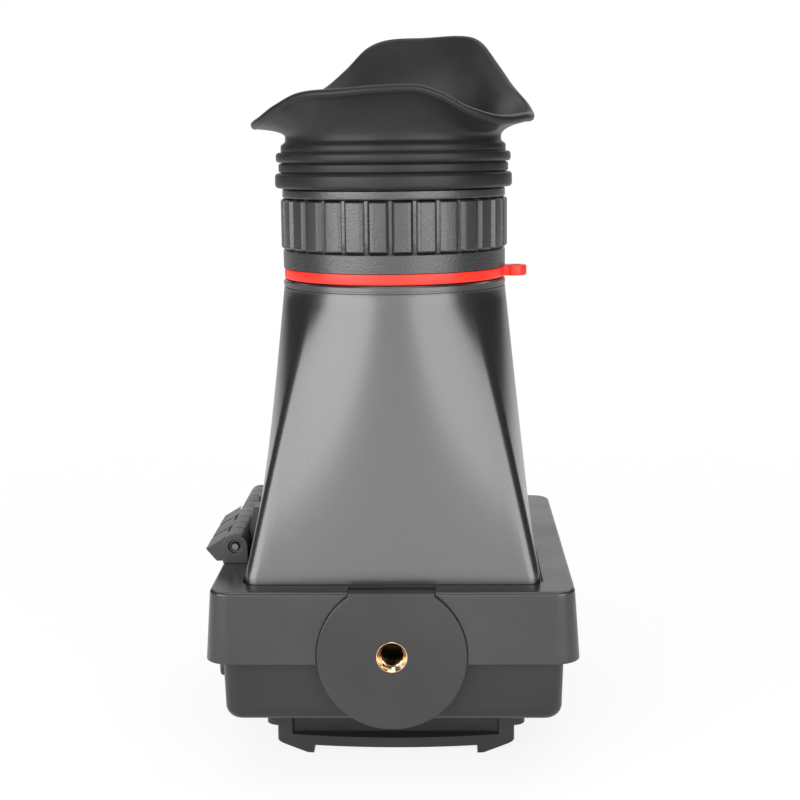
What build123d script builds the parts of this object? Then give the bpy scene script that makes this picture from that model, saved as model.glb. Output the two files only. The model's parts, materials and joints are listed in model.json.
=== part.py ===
from build123d import *
import math
import os

os.makedirs("parts", exist_ok=True)

# Working axes in mm: X to the right of the mounting disc, Y away from it, Z up along the optical
# axis. Z is 0 on the surface that the feet stand on, and X = Y = 0 on the optical axis.

# Clearances
RUNNING = 0.05          # radial clearance of a running fit
LAP = 0.15              # clearance between lapped shells of one body
GAP = 0.3               # clearance between pieces of different bodies

# Screen window, which the screen unit and the hood are sized round
WINDOW_WIDTH = 49.6     # visible screen, along X
WINDOW_DEPTH = 74.6     # visible screen, along Y
FRAME_WIDTH = WINDOW_WIDTH + 31.9       # frame along X at the top
FRAME_DEPTH = WINDOW_DEPTH + 19.8       # frame along Y at the top
CASE_INSET = 2.65       # frame's top edge stands out past the rear case's bottom edge

# Rear case
CASE_BOTTOM_Z = 13.4
CASE_WIDTH = FRAME_WIDTH - 2 * CASE_INSET # along X at the bottom
CASE_DEPTH = FRAME_DEPTH - 2 * CASE_INSET # along Y at the bottom
CASE_LEAN = 0.0314      # how far each side leans out per mm of height
CASE_CORNER = 4.0
CASE_WALL = 2.0
CASE_BOTTOM_EDGE = 3.0
LAP_TOP_Z = 34.0        # top of the rear case wall, hidden inside the frame

# Front frame
FRAME_BOTTOM_Z = 28.2
FRAME_TOP_Z = 44.3
FRAME_FLARE = 0.073     # how far each side leans out per mm downwards
FRAME_CORNER = 4.5
FRAME_EDGE = 0.8
ROOF = 2.5              # roof thickness of the frame
SEAT_DEPTH = 1.0        # recess that the loupe sits in
SEAT_CLEARANCE = 0.6

# Mounting disc and thread
THREAD_Z = 29.9
DISC_RADIUS = 16.8
DISC_PROUD = 1.4        # how far the disc stands out of the frame's top edge
TAB_HALF_WIDTH = 9.6
TAB_RISE = 0.2          # how far the tab stands above the frame top
THREAD_RADIUS = 2.55    # minor radius of a 1/4-20 thread
MOUTH_RADIUS = 3.4
INSERT_NOSE_RADIUS = 3.6
INSERT_NOSE = 1.2
INSERT_BODY_RADIUS = 4.5
INSERT_LENGTH = 9.0
THREAD_DEPTH = 8.0
BACKING_THICKNESS = 1.5
BACKING_RADIUS = 10.0
MOUNT_SCREW_CIRCLE = 7.2

# Screen stack, hung under the roof
GASKET_THICKNESS = 0.3
GLASS_THICKNESS = 1.5
GLASS_WIDTH = WINDOW_WIDTH + 7.4
GLASS_DEPTH = WINDOW_DEPTH + 10.0
LCD_WIDTH = GLASS_WIDTH - 2.3
LCD_DEPTH = GLASS_DEPTH - 1.7
LCD_THICKNESS = 1.0
BACKLIGHT_THICKNESS = 1.6
BRACKET_THICKNESS = 0.8
BRACKET_WIDTH = LCD_WIDTH - 1.7
BRACKET_DEPTH = LCD_DEPTH - 4.9
BRACKET_POST_Y = 22.0

# Board and the four case screws
POST_X = CASE_WIDTH / 2 - 6.6
POST_Y = CASE_DEPTH / 2 - 6.6
POST_RADIUS = 2.8
BOSS_RADIUS = 2.3
BOARD_Z = 28.0
BOARD_THICKNESS = 1.2
BOARD_WIDTH = CASE_WIDTH - 6.2
BOARD_DEPTH = CASE_DEPTH - 5.1
RIBBON = 0.3
RIBBON_WIDTH = 12.0
CASE_SCREW_RADIUS = 1.2
SCREW_HEAD_RADIUS = 2.1
SCREW_HEAD = 1.4
SMALL_SCREW_RADIUS = 0.9
SMALL_HEAD_RADIUS = 1.7
SMALL_HEAD = 0.9

# Buttons on the -X side
BUTTON_NAMES = ("menu_button", "up_button", "down_button", "power_button")
BUTTON_RADIUS = 2.3
BUTTON_PROUD = 2.0
BUTTON_Z = 22.5
BUTTON_FIRST_Y = -CASE_DEPTH / 2 + 12.1
BUTTON_PITCH = 11.0
BUTTON_TRAVEL = 0.7
BUTTON_FLANGE_RADIUS = 2.9
BUTTON_FLANGE = 0.8
BUTTON_FIT = 0.1
SWITCH_DEPTH = 3.2
SWITCH_WIDTH = 4.5

# Sockets on the +Y side
SOCKET_WIDTH = 15.0
SOCKET_HEIGHT = 5.8
SOCKET_LENGTH = 11.3
SOCKET_WALL = 0.4
TONGUE_WIDTH = 11.0
TONGUE_THICKNESS = 1.6
SOCKET_X = (-17.0, 3.0)
JACK_X = 20.0
JACK_SIZE = 9.0
JACK_HOLE_RADIUS = 3.0
JACK_PIN_RADIUS = 1.0

# Battery plate
PLATE_WIDTH = 56.2
PLATE_DEPTH = 60.0      # along Y at the sides
PLATE_BOW = 3.0         # how far the front edge bows out in its middle
PLATE_SHIFT = 1.5       # plate centre behind the optical axis
PLATE_CORNER = 2.0
BASE_WIDTH = 61.2
BASE_Z = 6.4            # underside of the wider base
POCKET_HALF_WIDTH = 24.4
POCKET_DEPTH = 9.0
POCKET_FLOOR_Z = 4.3
CHANNEL_HALF_WIDTH = 19.3
CHANNEL_HEIGHT = 1.9
FOOT_FLAT = 1.5
FOOT_RISE = 2.3         # height of the slanted foot at its outer edge
TAB_LENGTH = 8.0
TAB_REACH = 1.0
TAB_THICKNESS = 0.9
TAB_PITCH = 22.0
CONTACT_WIDTH = 1.6
CONTACT_LENGTH = 7.0
CONTACT_PITCH = 4.0
CATCH_WIDTH = 9.0
CATCH_LENGTH = 5.0
CATCH_TRAVEL = 1.4
CATCH_SETBACK = 3.0     # wall between the front pocket and the catch
PLATE_SCREW_X = 13.0
PLATE_SCREW_Y = 17.0

# Loupe hood
HOOD_WIDTH = FRAME_WIDTH - 14.7 # along X at the rim
HOOD_DEPTH = FRAME_DEPTH - 12.7 # along Y at the rim
HOOD_CORNER = 3.0
HOOD_RIM_Z = FRAME_TOP_Z - SEAT_DEPTH + GAP
HOOD_SKIRT = 2.2        # height of the upright rim
HOOD_TOP_Z = 110.0
HOOD_NECK = 2.6         # height of the round neck on top
HOOD_TOP_RADIUS = 26.9
HOOD_WALL = 2.2
HOOD_FLAT = 0.3         # short flat where each side meets the round neck
NECK_GROOVE = 0.4
SEAL_THICKNESS = 0.8
MAGNET_RADIUS = 2.0
MAGNET_THICKNESS = 1.5
MAGNET_X = HOOD_WIDTH / 2 - 4.1
MAGNET_Y = 24.0

# Hinge along the -X side of the frame
HINGE_X = 3.05 - FRAME_WIDTH / 2
HINGE_RISE = 4.0        # pin height above the frame top
HINGE_SCREW_X = HINGE_X + 1.0 # screws stand inboard of the pin, clear of the frame wall
HINGE_SCREW_BITE = 1.4
LEAF_SCREW_BITE = 1.2
LEAF_SCREW_STAND = 0.25 # head off the leaning wall, so that its edge clears it
KNUCKLE_RADIUS = 3.0
HINGE_PITCH = 11.2
HINGE_PITCHES = 4
FINGER_PITCHES = 3
HINGE_START_Y = 24.2 - FRAME_DEPTH / 2
EAR_THICKNESS = 1.6
EAR_RECESS_RADIUS = 1.6
EAR_RECESS = 1.0
PIN_RADIUS = 0.9
FINGER_SLOPE = 31.0     # degrees below horizontal
FINGER_REACH = 7.2      # tip of the finger from the pin
FINGER_GAP = 1.2
FINGER_TOE_X = 4.7
LEAF_THICKNESS = 1.7
LEAF_TAB_RISE = 8.0     # top of the upright tabs above the pin
LEAF_TAB_LENGTH = 6.8

# Eyepiece
COLLAR_RADIUS = HOOD_TOP_RADIUS - 0.05
LANYARD_HEIGHT = 2.5
LANYARD_RADIUS = HOOD_TOP_RADIUS - 0.25
LANYARD_BORE = LANYARD_RADIUS - 1.65
LUG_REACH = LANYARD_RADIUS + 5.45 # tip of the eyelet from the optical axis
LUG_RADIUS = 3.0
EYELET_RADIUS = 1.2
LOWER_COLLAR = 4.5
RING_HEIGHT = 11.8
RING_RADIUS = HOOD_TOP_RADIUS + 0.4
RING_ROOT_RADIUS = RING_RADIUS - 0.8
RING_PADS = 30
RING_GROOVE = 1.5
AXIAL_PLAY = 0.1
TOP_COLLAR = 2.1
BARREL_RADIUS = HOOD_TOP_RADIUS - 4.0
BARREL_BORE = BARREL_RADIUS - 2.1
BARREL_FOOT = 5.0
LAND = 2.3              # height of the ring's two running lands
RING_RELIEF_RADIUS = BARREL_RADIUS + 1.7
SPIGOT_RADIUS = BARREL_RADIUS + 1.7
SPIGOT_HEIGHT = 6.8
BEAD_RADIUS = SPIGOT_RADIUS + 0.7
BEAD_HEIGHT = 1.6
FOCUS_TRAVEL = 3.5
CELL_WALL = 1.6
CELL_HEIGHT = 15.0
CELL_LIFT = 1.6         # bottom of the cell above the bottom of the focus ring
LENS_RIM = 2.6
LENS_SEAT = 1.5         # flat ground rim that a lens is held by
PIN_Z_OFFSET = 2.5
DRIVE_PIN_RADIUS = 1.5
DRIVE_PINS = 3

# Eyecup
RIB_LOW_RADIUS = HOOD_TOP_RADIUS + 1.6
RIB_LOW_HEIGHT = 3.6
BAND_RADIUS = HOOD_TOP_RADIUS + 0.6
BAND_HEIGHT = 2.3
RIB_TOP_RADIUS = HOOD_TOP_RADIUS + 1.3
RIB_TOP_HEIGHT = 2.5
STEP_RADIUS = HOOD_TOP_RADIUS + 0.1
STEP_HEIGHT = 1.9
NECK_RADIUS = HOOD_TOP_RADIUS - 1.0
NECK_HEIGHT = 1.9
LIP_WALL = 1.9
FLARE_BEND = (0.12, 0.5)        # where the flare's curve is pulled to, as shares of reach and climb
FLARE_SECTIONS = 48
FLARE_SHOULDER = 0.6            # sloping shoulder that the flare rises from

# Eyecup lip: angle round the axis from +X, reach beyond the neck, height above the feet
LIP = (
    (0, 7.2, 151.4),
    (14, 7.2, 154.6),
    (27, 7.2, 158.8),
    (38, 7.0, 165.2),
    (48, 6.9, 170.9),
    (58, 6.8, 172.6),
    (76, 6.6, 172.3),
    (94, 6.4, 171.7),
    (104, 6.4, 169.2),
    (114, 6.5, 163.3),
    (126, 6.7, 157.6),
    (144, 6.9, 153.6),
    (162, 7.2, 150.9),
    (180, 7.3, 149.5),
    (200, 6.9, 151.2),
    (216, 6.4, 154.2),
    (230, 5.9, 156.6),
    (250, 5.3, 157.5),
    (268, 5.0, 158.4),
    (282, 5.0, 158.3),
    (292, 5.2, 156.2),
    (304, 5.5, 152.8),
    (320, 6.2, 150.9),
    (340, 7.0, 151.2),
)

# Places worked out from the sizes above
FRAME_FRONT_Y = -FRAME_DEPTH / 2
DISC_FACE_Y = FRAME_FRONT_Y - DISC_PROUD
MOUTH_DEPTH = MOUTH_RADIUS - THREAD_RADIUS
SEAT_Z = FRAME_TOP_Z - SEAT_DEPTH
ROOF_Z = FRAME_TOP_Z - ROOF
GLASS_Z = ROOF_Z - GASKET_THICKNESS - GLASS_THICKNESS
LCD_Z = GLASS_Z - LCD_THICKNESS
BACKLIGHT_Z = LCD_Z - BACKLIGHT_THICKNESS
BRACKET_Z = BACKLIGHT_Z - BRACKET_THICKNESS
FLOOR_Z = CASE_BOTTOM_Z + CASE_WALL
BOARD_TOP_Z = BOARD_Z + BOARD_THICKNESS
HINGE_Z = FRAME_TOP_Z + HINGE_RISE
LANYARD_Z = HOOD_TOP_Z + 0.2
COLLAR_Z = LANYARD_Z + LANYARD_HEIGHT + 0.1
RING_Z = COLLAR_Z + LOWER_COLLAR + AXIAL_PLAY
RING_TOP_Z = RING_Z + RING_HEIGHT
TOP_COLLAR_Z = RING_TOP_Z + AXIAL_PLAY
SPIGOT_Z = TOP_COLLAR_Z + TOP_COLLAR
SPIGOT_TOP_Z = SPIGOT_Z + SPIGOT_HEIGHT
CUP_Z = SPIGOT_Z + GAP
CELL_Z = RING_Z + CELL_LIFT
CELL_RADIUS = BARREL_BORE - RUNNING
PIN_Z = CELL_Z + PIN_Z_OFFSET


# Shared shapes
def upright_block(width, depth, corner, low, high, lean=0.0):
    """A block with rounded upright corners, whose sides lean out by lean per mm of height."""
    growth = lean * (high - low)
    base = Pos(0, 0, low) * RectangleRounded(width, depth, corner)
    if lean == 0:
        return extrude(base, high - low)
    top_size = (width + 2 * growth, depth + 2 * growth)
    top = Pos(0, 0, high) * RectangleRounded(*top_size, corner + growth)
    return loft([base, top], ruled=True)


def case_block(low, high, offset=0.0):
    """The rear case's leaning outline between two heights, grown sideways by offset."""
    growth = offset + CASE_LEAN * (low - CASE_BOTTOM_Z)
    width = CASE_WIDTH + 2 * growth
    depth = CASE_DEPTH + 2 * growth
    return upright_block(width, depth, CASE_CORNER + growth, low, high, CASE_LEAN)


def box(low, high):
    """A plain block between two opposite corners."""
    size = [b - a for a, b in zip(low, high)]
    middle = [(a + b) / 2 for a, b in zip(low, high)]
    return Pos(*middle) * Box(*size)


def disc(radius, low, high, at=(0, 0)):
    return Pos(at[0], at[1], low) * extrude(Circle(radius), high - low)


def tube(outer, inner, low, high, at=(0, 0)):
    return disc(outer, low, high, at) - disc(inner, low, high, at)


def turned(*points):
    """A solid of revolution round the optical axis, from radius and height pairs."""
    return revolve(make_face(Plane.XZ * Polyline(*points, close=True)), Axis.Z)


def along_y(outline, start, length, x=0.0, z=0.0):
    """An outline drawn in X and Z, pushed away from the mounting disc from Y = start."""
    plane = Plane((x, start, z), x_dir=(1, 0, 0), z_dir=(0, -1, 0))
    return extrude(plane * outline, -length)


def along_x(radius, start, length, y, z):
    """A round bar along X from X = start."""
    return extrude(Plane((start, y, z), z_dir=(1, 0, 0)) * Circle(radius), length)


def four(x, y):
    return [(sx * x, sy * y) for sx in (-1, 1) for sy in (-1, 1)]


def group(shapes):
    """Separate solids that share one node."""
    return Compound([solid for shape in shapes for solid in shape.solids()])


def screw(head_radius, head, shank_radius, length, at, low, upward=True):
    """A screw with a crossed head; low is the height of the head's outer face."""
    x, y = at
    sign = 1 if upward else -1
    head_high = low + sign * head
    tip = low + sign * length
    body = disc(head_radius, min(low, head_high), max(low, head_high), at)
    body += disc(shank_radius, min(low, tip), max(low, tip), at)
    slot = 0.5 * head
    cross = Box(head_radius, 0.4, 2 * slot) + Box(0.4, head_radius, 2 * slot)
    return body - Pos(x, y, low) * cross


# Screen unit: shells
def disc_outline(clearance=0.0):
    """The mounting disc's outline round the thread axis: a circle with a flat tab up to the top."""
    tab_top = FRAME_TOP_Z + TAB_RISE - THREAD_Z
    tab_width = 2 * (TAB_HALF_WIDTH + clearance)
    tab = Pos(0, tab_top / 2) * Rectangle(tab_width, tab_top)
    below = Pos(0, -DISC_RADIUS) * Rectangle(4 * DISC_RADIUS, 4 * DISC_RADIUS)
    shoulder_z = math.sqrt(DISC_RADIUS**2 - TAB_HALF_WIDTH**2)
    round_part = Circle(DISC_RADIUS + clearance) & (Pos(0, shoulder_z - DISC_RADIUS) * below)
    return round_part + tab


def make_mount_disc():
    depth = -DISC_FACE_Y - CASE_DEPTH / 2 + 1.0
    body = along_y(disc_outline(), DISC_FACE_Y, depth, z=THREAD_Z)
    front = body.faces().sort_by(Axis.Y)[0]
    body = chamfer(front.outer_wire().edges(), 0.3)
    body -= case_block(CASE_BOTTOM_Z - 2.0, FRAME_TOP_Z + 2.0)
    body -= along_y(Circle(INSERT_NOSE_RADIUS), DISC_FACE_Y, 10, z=THREAD_Z)
    body -= along_y(Circle(INSERT_BODY_RADIUS), DISC_FACE_Y + INSERT_NOSE, 10, z=THREAD_Z)
    for x, z in mount_screw_places():
        body -= along_y(Circle(CASE_SCREW_RADIUS), DISC_FACE_Y + 1.0, 10, x=x, z=z)
    return body


def mount_screw_places():
    steps = [math.radians(45 + 90 * i) for i in range(4)]
    r = MOUNT_SCREW_CIRCLE
    return [(r * math.cos(a), THREAD_Z + r * math.sin(a)) for a in steps]


def wall_y(z, inside=0.0):
    """Y of the rear case's front wall at height z, inside mm in from its outer face."""
    return -(CASE_DEPTH / 2 + CASE_LEAN * (z - CASE_BOTTOM_Z)) + inside


def make_thread_insert():
    front = DISC_FACE_Y
    nose = along_y(Circle(INSERT_NOSE_RADIUS), front, INSERT_NOSE, z=THREAD_Z)
    shank = along_y(Circle(INSERT_BODY_RADIUS), front + INSERT_NOSE,
                    INSERT_LENGTH - INSERT_NOSE, z=THREAD_Z)
    mouth_plane = Plane((0, front + MOUTH_DEPTH / 2, THREAD_Z), x_dir=(1, 0, 0), z_dir=(0, -1, 0))
    mouth = mouth_plane * Cone(THREAD_RADIUS, MOUTH_RADIUS, MOUTH_DEPTH)
    bore = along_y(Circle(THREAD_RADIUS), front, THREAD_DEPTH, z=THREAD_Z)
    return nose + shank - mouth - bore


def make_mount_backing_plate():
    inner_y = wall_y(THREAD_Z, CASE_WALL) + 0.6
    plate = along_y(Circle(BACKING_RADIUS), inner_y, BACKING_THICKNESS, z=THREAD_Z)
    plate -= along_y(Circle(INSERT_BODY_RADIUS), inner_y, BACKING_THICKNESS, z=THREAD_Z)
    plate &= box((-BACKING_RADIUS, -60, FLOOR_Z), (BACKING_RADIUS, 0, BACKLIGHT_Z - LAP))
    for x, z in mount_screw_places():
        plate -= along_y(Circle(CASE_SCREW_RADIUS), inner_y, BACKING_THICKNESS, x=x, z=z)
    return plate


def make_front_case():
    bottom_growth = FRAME_FLARE * (FRAME_TOP_Z - FRAME_BOTTOM_Z)
    width = FRAME_WIDTH + 2 * bottom_growth
    depth = FRAME_DEPTH + 2 * bottom_growth
    body = upright_block(width, depth, FRAME_CORNER + bottom_growth, FRAME_BOTTOM_Z, FRAME_TOP_Z,
                         -FRAME_FLARE)
    body = fillet(body.faces().sort_by(Axis.Z)[-1].edges(), FRAME_EDGE)
    body -= case_block(FRAME_BOTTOM_Z, ROOF_Z, LAP)
    seat = (HOOD_WIDTH + 2 * SEAT_CLEARANCE, HOOD_DEPTH + 2 * SEAT_CLEARANCE)
    body -= upright_block(*seat, HOOD_CORNER + SEAT_CLEARANCE, SEAT_Z, FRAME_TOP_Z)
    body -= upright_block(WINDOW_WIDTH, WINDOW_DEPTH, 1.5, ROOF_Z, SEAT_Z)
    for at in four(POST_X, POST_Y):
        body += disc(BOSS_RADIUS, BOARD_TOP_Z, ROOF_Z, at)
        body -= disc(CASE_SCREW_RADIUS, BOARD_TOP_Z, BOARD_TOP_Z + 8, at)
    for at in four(POST_X, BRACKET_POST_Y):
        body += disc(BOSS_RADIUS, BRACKET_Z + BRACKET_THICKNESS, ROOF_Z, at)
        body -= disc(SMALL_SCREW_RADIUS, BRACKET_Z, BRACKET_Z + 4, at)
    for y in (-MAGNET_Y, MAGNET_Y):
        body -= disc(MAGNET_RADIUS, SEAT_Z - MAGNET_THICKNESS / 2, SEAT_Z, (MAGNET_X, y))
    body -= along_y(disc_outline(LAP), DISC_FACE_Y - 1, FRAME_DEPTH / 2 - HOOD_DEPTH / 2 + 1,
                    z=THREAD_Z)
    for y in hinge_screw_places():
        body -= disc(SMALL_SCREW_RADIUS, ROOF_Z, FRAME_TOP_Z, (HINGE_SCREW_X, y))
    return body


def make_rear_case():
    body = case_block(CASE_BOTTOM_Z, LAP_TOP_Z)
    body = fillet(body.faces().sort_by(Axis.Z)[0].edges(), CASE_BOTTOM_EDGE)
    body -= case_block(FLOOR_Z, LAP_TOP_Z, -CASE_WALL)
    for at in four(POST_X, POST_Y):
        body += disc(POST_RADIUS, FLOOR_Z, BOARD_Z, at)
        body -= disc(CASE_SCREW_RADIUS, CASE_BOTTOM_Z, BOARD_Z, at)
        body -= disc(SCREW_HEAD_RADIUS, CASE_BOTTOM_Z, CASE_BOTTOM_Z + SCREW_HEAD, at)
    front_y = wall_y(THREAD_Z) - 1
    body -= along_y(Circle(INSERT_BODY_RADIUS), front_y, 4, z=THREAD_Z)
    for x, z in mount_screw_places():
        body -= along_y(Circle(CASE_SCREW_RADIUS), front_y, 4, x=x, z=z)
    seat_y = wall_y(THREAD_Z, CASE_WALL)
    pad = along_y(Circle(BACKING_RADIUS), seat_y - 0.9, 1.5, z=THREAD_Z)
    pad -= along_y(Circle(INSERT_BODY_RADIUS), seat_y - 1, 3, z=THREAD_Z)
    for x, z in mount_screw_places():
        pad -= along_y(Circle(CASE_SCREW_RADIUS), seat_y - 1, 3, x=x, z=z)
    body += pad & box((-30, -60, FLOOR_Z), (30, 0, BOARD_Z))
    for y in button_places():
        body -= along_x(BUTTON_RADIUS + BUTTON_FIT, -CASE_WIDTH / 2 - 3, 6, y, BUTTON_Z)
    back = CASE_DEPTH / 2
    for x in SOCKET_X:
        half = SOCKET_WIDTH / 2
        body -= box((x - half, back - 4, BOARD_Z - SOCKET_HEIGHT), (x + half, back + 4, BOARD_Z))
    body -= along_y(Circle(JACK_HOLE_RADIUS + 0.6), back - 4, 8, x=JACK_X, z=jack_z())
    for at in four(PLATE_SCREW_X, PLATE_SCREW_Y):
        body -= disc(CASE_SCREW_RADIUS, CASE_BOTTOM_Z, FLOOR_Z, plate_at(at))
    return body


def plate_at(at):
    return (at[0], at[1] + PLATE_SHIFT)


# Screen unit: what it holds
def make_glass_gasket():
    outer = upright_block(GLASS_WIDTH, GLASS_DEPTH, 1.0, ROOF_Z - GASKET_THICKNESS, ROOF_Z)
    window = upright_block(WINDOW_WIDTH + 1, WINDOW_DEPTH + 1, 1.5, ROOF_Z - GASKET_THICKNESS, ROOF_Z)
    return outer - window


def make_cover_glass():
    return upright_block(GLASS_WIDTH, GLASS_DEPTH, 1.0, GLASS_Z, GLASS_Z + GLASS_THICKNESS)


def make_lcd_panel():
    return upright_block(LCD_WIDTH, LCD_DEPTH, 0.8, LCD_Z, GLASS_Z)


def make_backlight():
    return upright_block(LCD_WIDTH, LCD_DEPTH, 0.8, BACKLIGHT_Z, LCD_Z)


def make_lcd_bracket():
    plate = upright_block(BRACKET_WIDTH, BRACKET_DEPTH, 2.0, BRACKET_Z, BACKLIGHT_Z)
    for y in (-BRACKET_POST_Y, BRACKET_POST_Y):
        half = POST_X + BOSS_RADIUS
        plate += box((-half, y - 4, BRACKET_Z), (half, y + 4, BACKLIGHT_Z))
    for at in four(POST_X, BRACKET_POST_Y):
        plate -= disc(SMALL_SCREW_RADIUS, BRACKET_Z, BACKLIGHT_Z, at)
    for x in (-14, 14):
        for y in (-30, -10, 10, 30):
            plate -= box((x - 8, y - 6, BRACKET_Z), (x + 8, y + 6, BACKLIGHT_Z))
    return plate


def make_lcd_screws():
    low = BRACKET_Z - SMALL_HEAD
    return group(screw(SMALL_HEAD_RADIUS, SMALL_HEAD, SMALL_SCREW_RADIUS, 4, at, low)
                 for at in four(POST_X, BRACKET_POST_Y))


def make_main_board():
    board = upright_block(BOARD_WIDTH, BOARD_DEPTH, 2.0, BOARD_Z, BOARD_TOP_Z)
    for at in four(POST_X, POST_Y):
        board -= disc(CASE_SCREW_RADIUS, BOARD_Z, BOARD_TOP_Z, at)
    insert_room = INSERT_BODY_RADIUS + MOUNT_SCREW_CIRCLE
    return board - box((-insert_room, -60, BOARD_Z), (insert_room, -33, BOARD_TOP_Z))


def make_board_components():
    top = BOARD_TOP_Z
    chips = [
        box((-12, -10, top), (4, 6, top + 1.6)),
        box((9, -8, top), (18, 4, top + 1.0)),
        box((-24, 10, top), (-12, 20, top + 1.2)),
        box((-10, 30, top), (10, 34, top + 2.0)),
    ]
    chips += [disc(3.1, top, top + 5.4, (x, 22)) for x in (15, 23)]
    chips += [box((x, -20, top), (x + 2, -18.8, top + 0.8)) for x in range(-20, 21, 5)]
    return group(chips)


def make_ribbon_cable():
    """Flat cable from the backlight's edge, down and back to the connector on the board."""
    edge = LCD_DEPTH / 2 - 1
    low = BOARD_TOP_Z + 2.0
    high = BACKLIGHT_Z
    path = Polyline((edge, high), (edge, low + 1.5), (edge - 1.5, low + RIBBON / 2),
                    (30, low + RIBBON / 2))
    outline = Plane.YZ * trace(path, RIBBON)
    return Pos(-RIBBON_WIDTH / 2, 0, 0) * extrude(outline, RIBBON_WIDTH, dir=(1, 0, 0))


def button_places():
    return [BUTTON_FIRST_Y + BUTTON_PITCH * i for i in range(len(BUTTON_NAMES))]


def case_side_x(z, inside=0.0):
    """X of the rear case's -X wall at height z."""
    return -(CASE_WIDTH / 2 + CASE_LEAN * (z - CASE_BOTTOM_Z)) + inside


def flange_x():
    low_z = BUTTON_Z - BUTTON_FLANGE_RADIUS
    return case_side_x(low_z, CASE_WALL) + GAP


def make_button(y):
    outer = case_side_x(BUTTON_Z) - BUTTON_PROUD
    flange = flange_x()
    cap = along_x(BUTTON_RADIUS, outer, flange - outer, y, BUTTON_Z)
    rim = cap.faces().sort_by(Axis.X)[0].edges()
    cap = fillet(rim, 0.6)
    return cap + along_x(BUTTON_FLANGE_RADIUS, flange, BUTTON_FLANGE, y, BUTTON_Z)


def switch_x():
    return flange_x() + BUTTON_FLANGE + BUTTON_TRAVEL + BUTTON_FIT


def make_button_switches():
    half = SWITCH_WIDTH / 2
    x = switch_x()
    parts = []
    for y in button_places():
        body = box((x + 0.6, y - half, BUTTON_Z - half), (x + SWITCH_DEPTH, y + half, BOARD_Z))
        parts.append(body + along_x(1.2, x, 0.6, y, BUTTON_Z))
    return group(parts)


def socket_front_y():
    return CASE_DEPTH / 2 + CASE_LEAN * (BOARD_Z - SOCKET_HEIGHT - CASE_BOTTOM_Z) - 0.3


def make_video_socket(x):
    """A metal shell with a flat tongue, open towards +Y and fixed under the board."""
    front = socket_front_y()
    low = BOARD_Z - SOCKET_HEIGHT
    half = SOCKET_WIDTH / 2
    w = SOCKET_WALL
    lower_width = SOCKET_WIDTH - 2.4
    outline = make_face(Polyline((-half, 0), (-half, -3.4), (-lower_width / 2, -SOCKET_HEIGHT),
                                 (lower_width / 2, -SOCKET_HEIGHT), (half, -3.4), (half, 0),
                                 close=True))
    start = front - SOCKET_LENGTH
    shell = along_y(outline, start, SOCKET_LENGTH, x=x, z=BOARD_Z)
    shell -= along_y(offset(outline, -w), start + 3.0, SOCKET_LENGTH, x=x, z=BOARD_Z)
    middle = low + SOCKET_HEIGHT / 2 + 0.3
    tongue = box((x - TONGUE_WIDTH / 2, start + 2, middle - TONGUE_THICKNESS / 2),
                 (x + TONGUE_WIDTH / 2, front - 1.0, middle + TONGUE_THICKNESS / 2))
    return shell + tongue


def jack_z():
    return BOARD_Z - JACK_SIZE / 2


def make_power_jack():
    front = CASE_DEPTH / 2 - 2.4
    half = JACK_SIZE / 2
    body = box((JACK_X - half, front - 12, BOARD_Z - JACK_SIZE), (JACK_X + half, front, BOARD_Z))
    body += along_y(Circle(JACK_HOLE_RADIUS + 0.5), front, 2.2, x=JACK_X, z=jack_z())
    body -= along_y(Circle(JACK_HOLE_RADIUS), front - 8, 12, x=JACK_X, z=jack_z())
    return body + along_y(Circle(JACK_PIN_RADIUS), front - 8, 8.6, x=JACK_X, z=jack_z())


def make_mount_screws():
    start = wall_y(THREAD_Z, CASE_WALL) + 0.6 + BACKING_THICKNESS
    parts = []
    for x, z in mount_screw_places():
        head = along_y(Circle(SCREW_HEAD_RADIUS), start, SCREW_HEAD, x=x, z=z)
        shank_start = DISC_FACE_Y + 1.0
        parts.append(head + along_y(Circle(CASE_SCREW_RADIUS), shank_start, start - shank_start,
                                    x=x, z=z))
    return group(parts)


def make_case_screws():
    length = BOARD_TOP_Z + 7 - CASE_BOTTOM_Z - 0.3
    return group(screw(SCREW_HEAD_RADIUS, SCREW_HEAD - 0.3, CASE_SCREW_RADIUS, length, at,
                       CASE_BOTTOM_Z + 0.3) for at in four(POST_X, POST_Y))


# Battery plate
def plate_outline(width, corner):
    """The plate seen from below: straight sides and back, and a front edge that bows out."""
    half = width / 2
    front = -PLATE_DEPTH / 2
    back = PLATE_DEPTH / 2
    edges = Polyline((half, front), (half, back), (-half, back), (-half, front))
    bow = ThreePointArc((-half, front), (0, front - PLATE_BOW), (half, front))
    face = make_face(edges + bow)
    return Pos(0, PLATE_SHIFT) * fillet(face.vertices(), corner)


def catch_at():
    pedestal_front = PLATE_SHIFT - PLATE_DEPTH / 2 + POCKET_DEPTH
    return (0.0, pedestal_front + CATCH_SETBACK + CATCH_LENGTH / 2)


def contact_places():
    return [(CONTACT_PITCH * (i - 1.5), PLATE_SHIFT + PLATE_DEPTH / 2 - 9.0) for i in range(4)]


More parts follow.
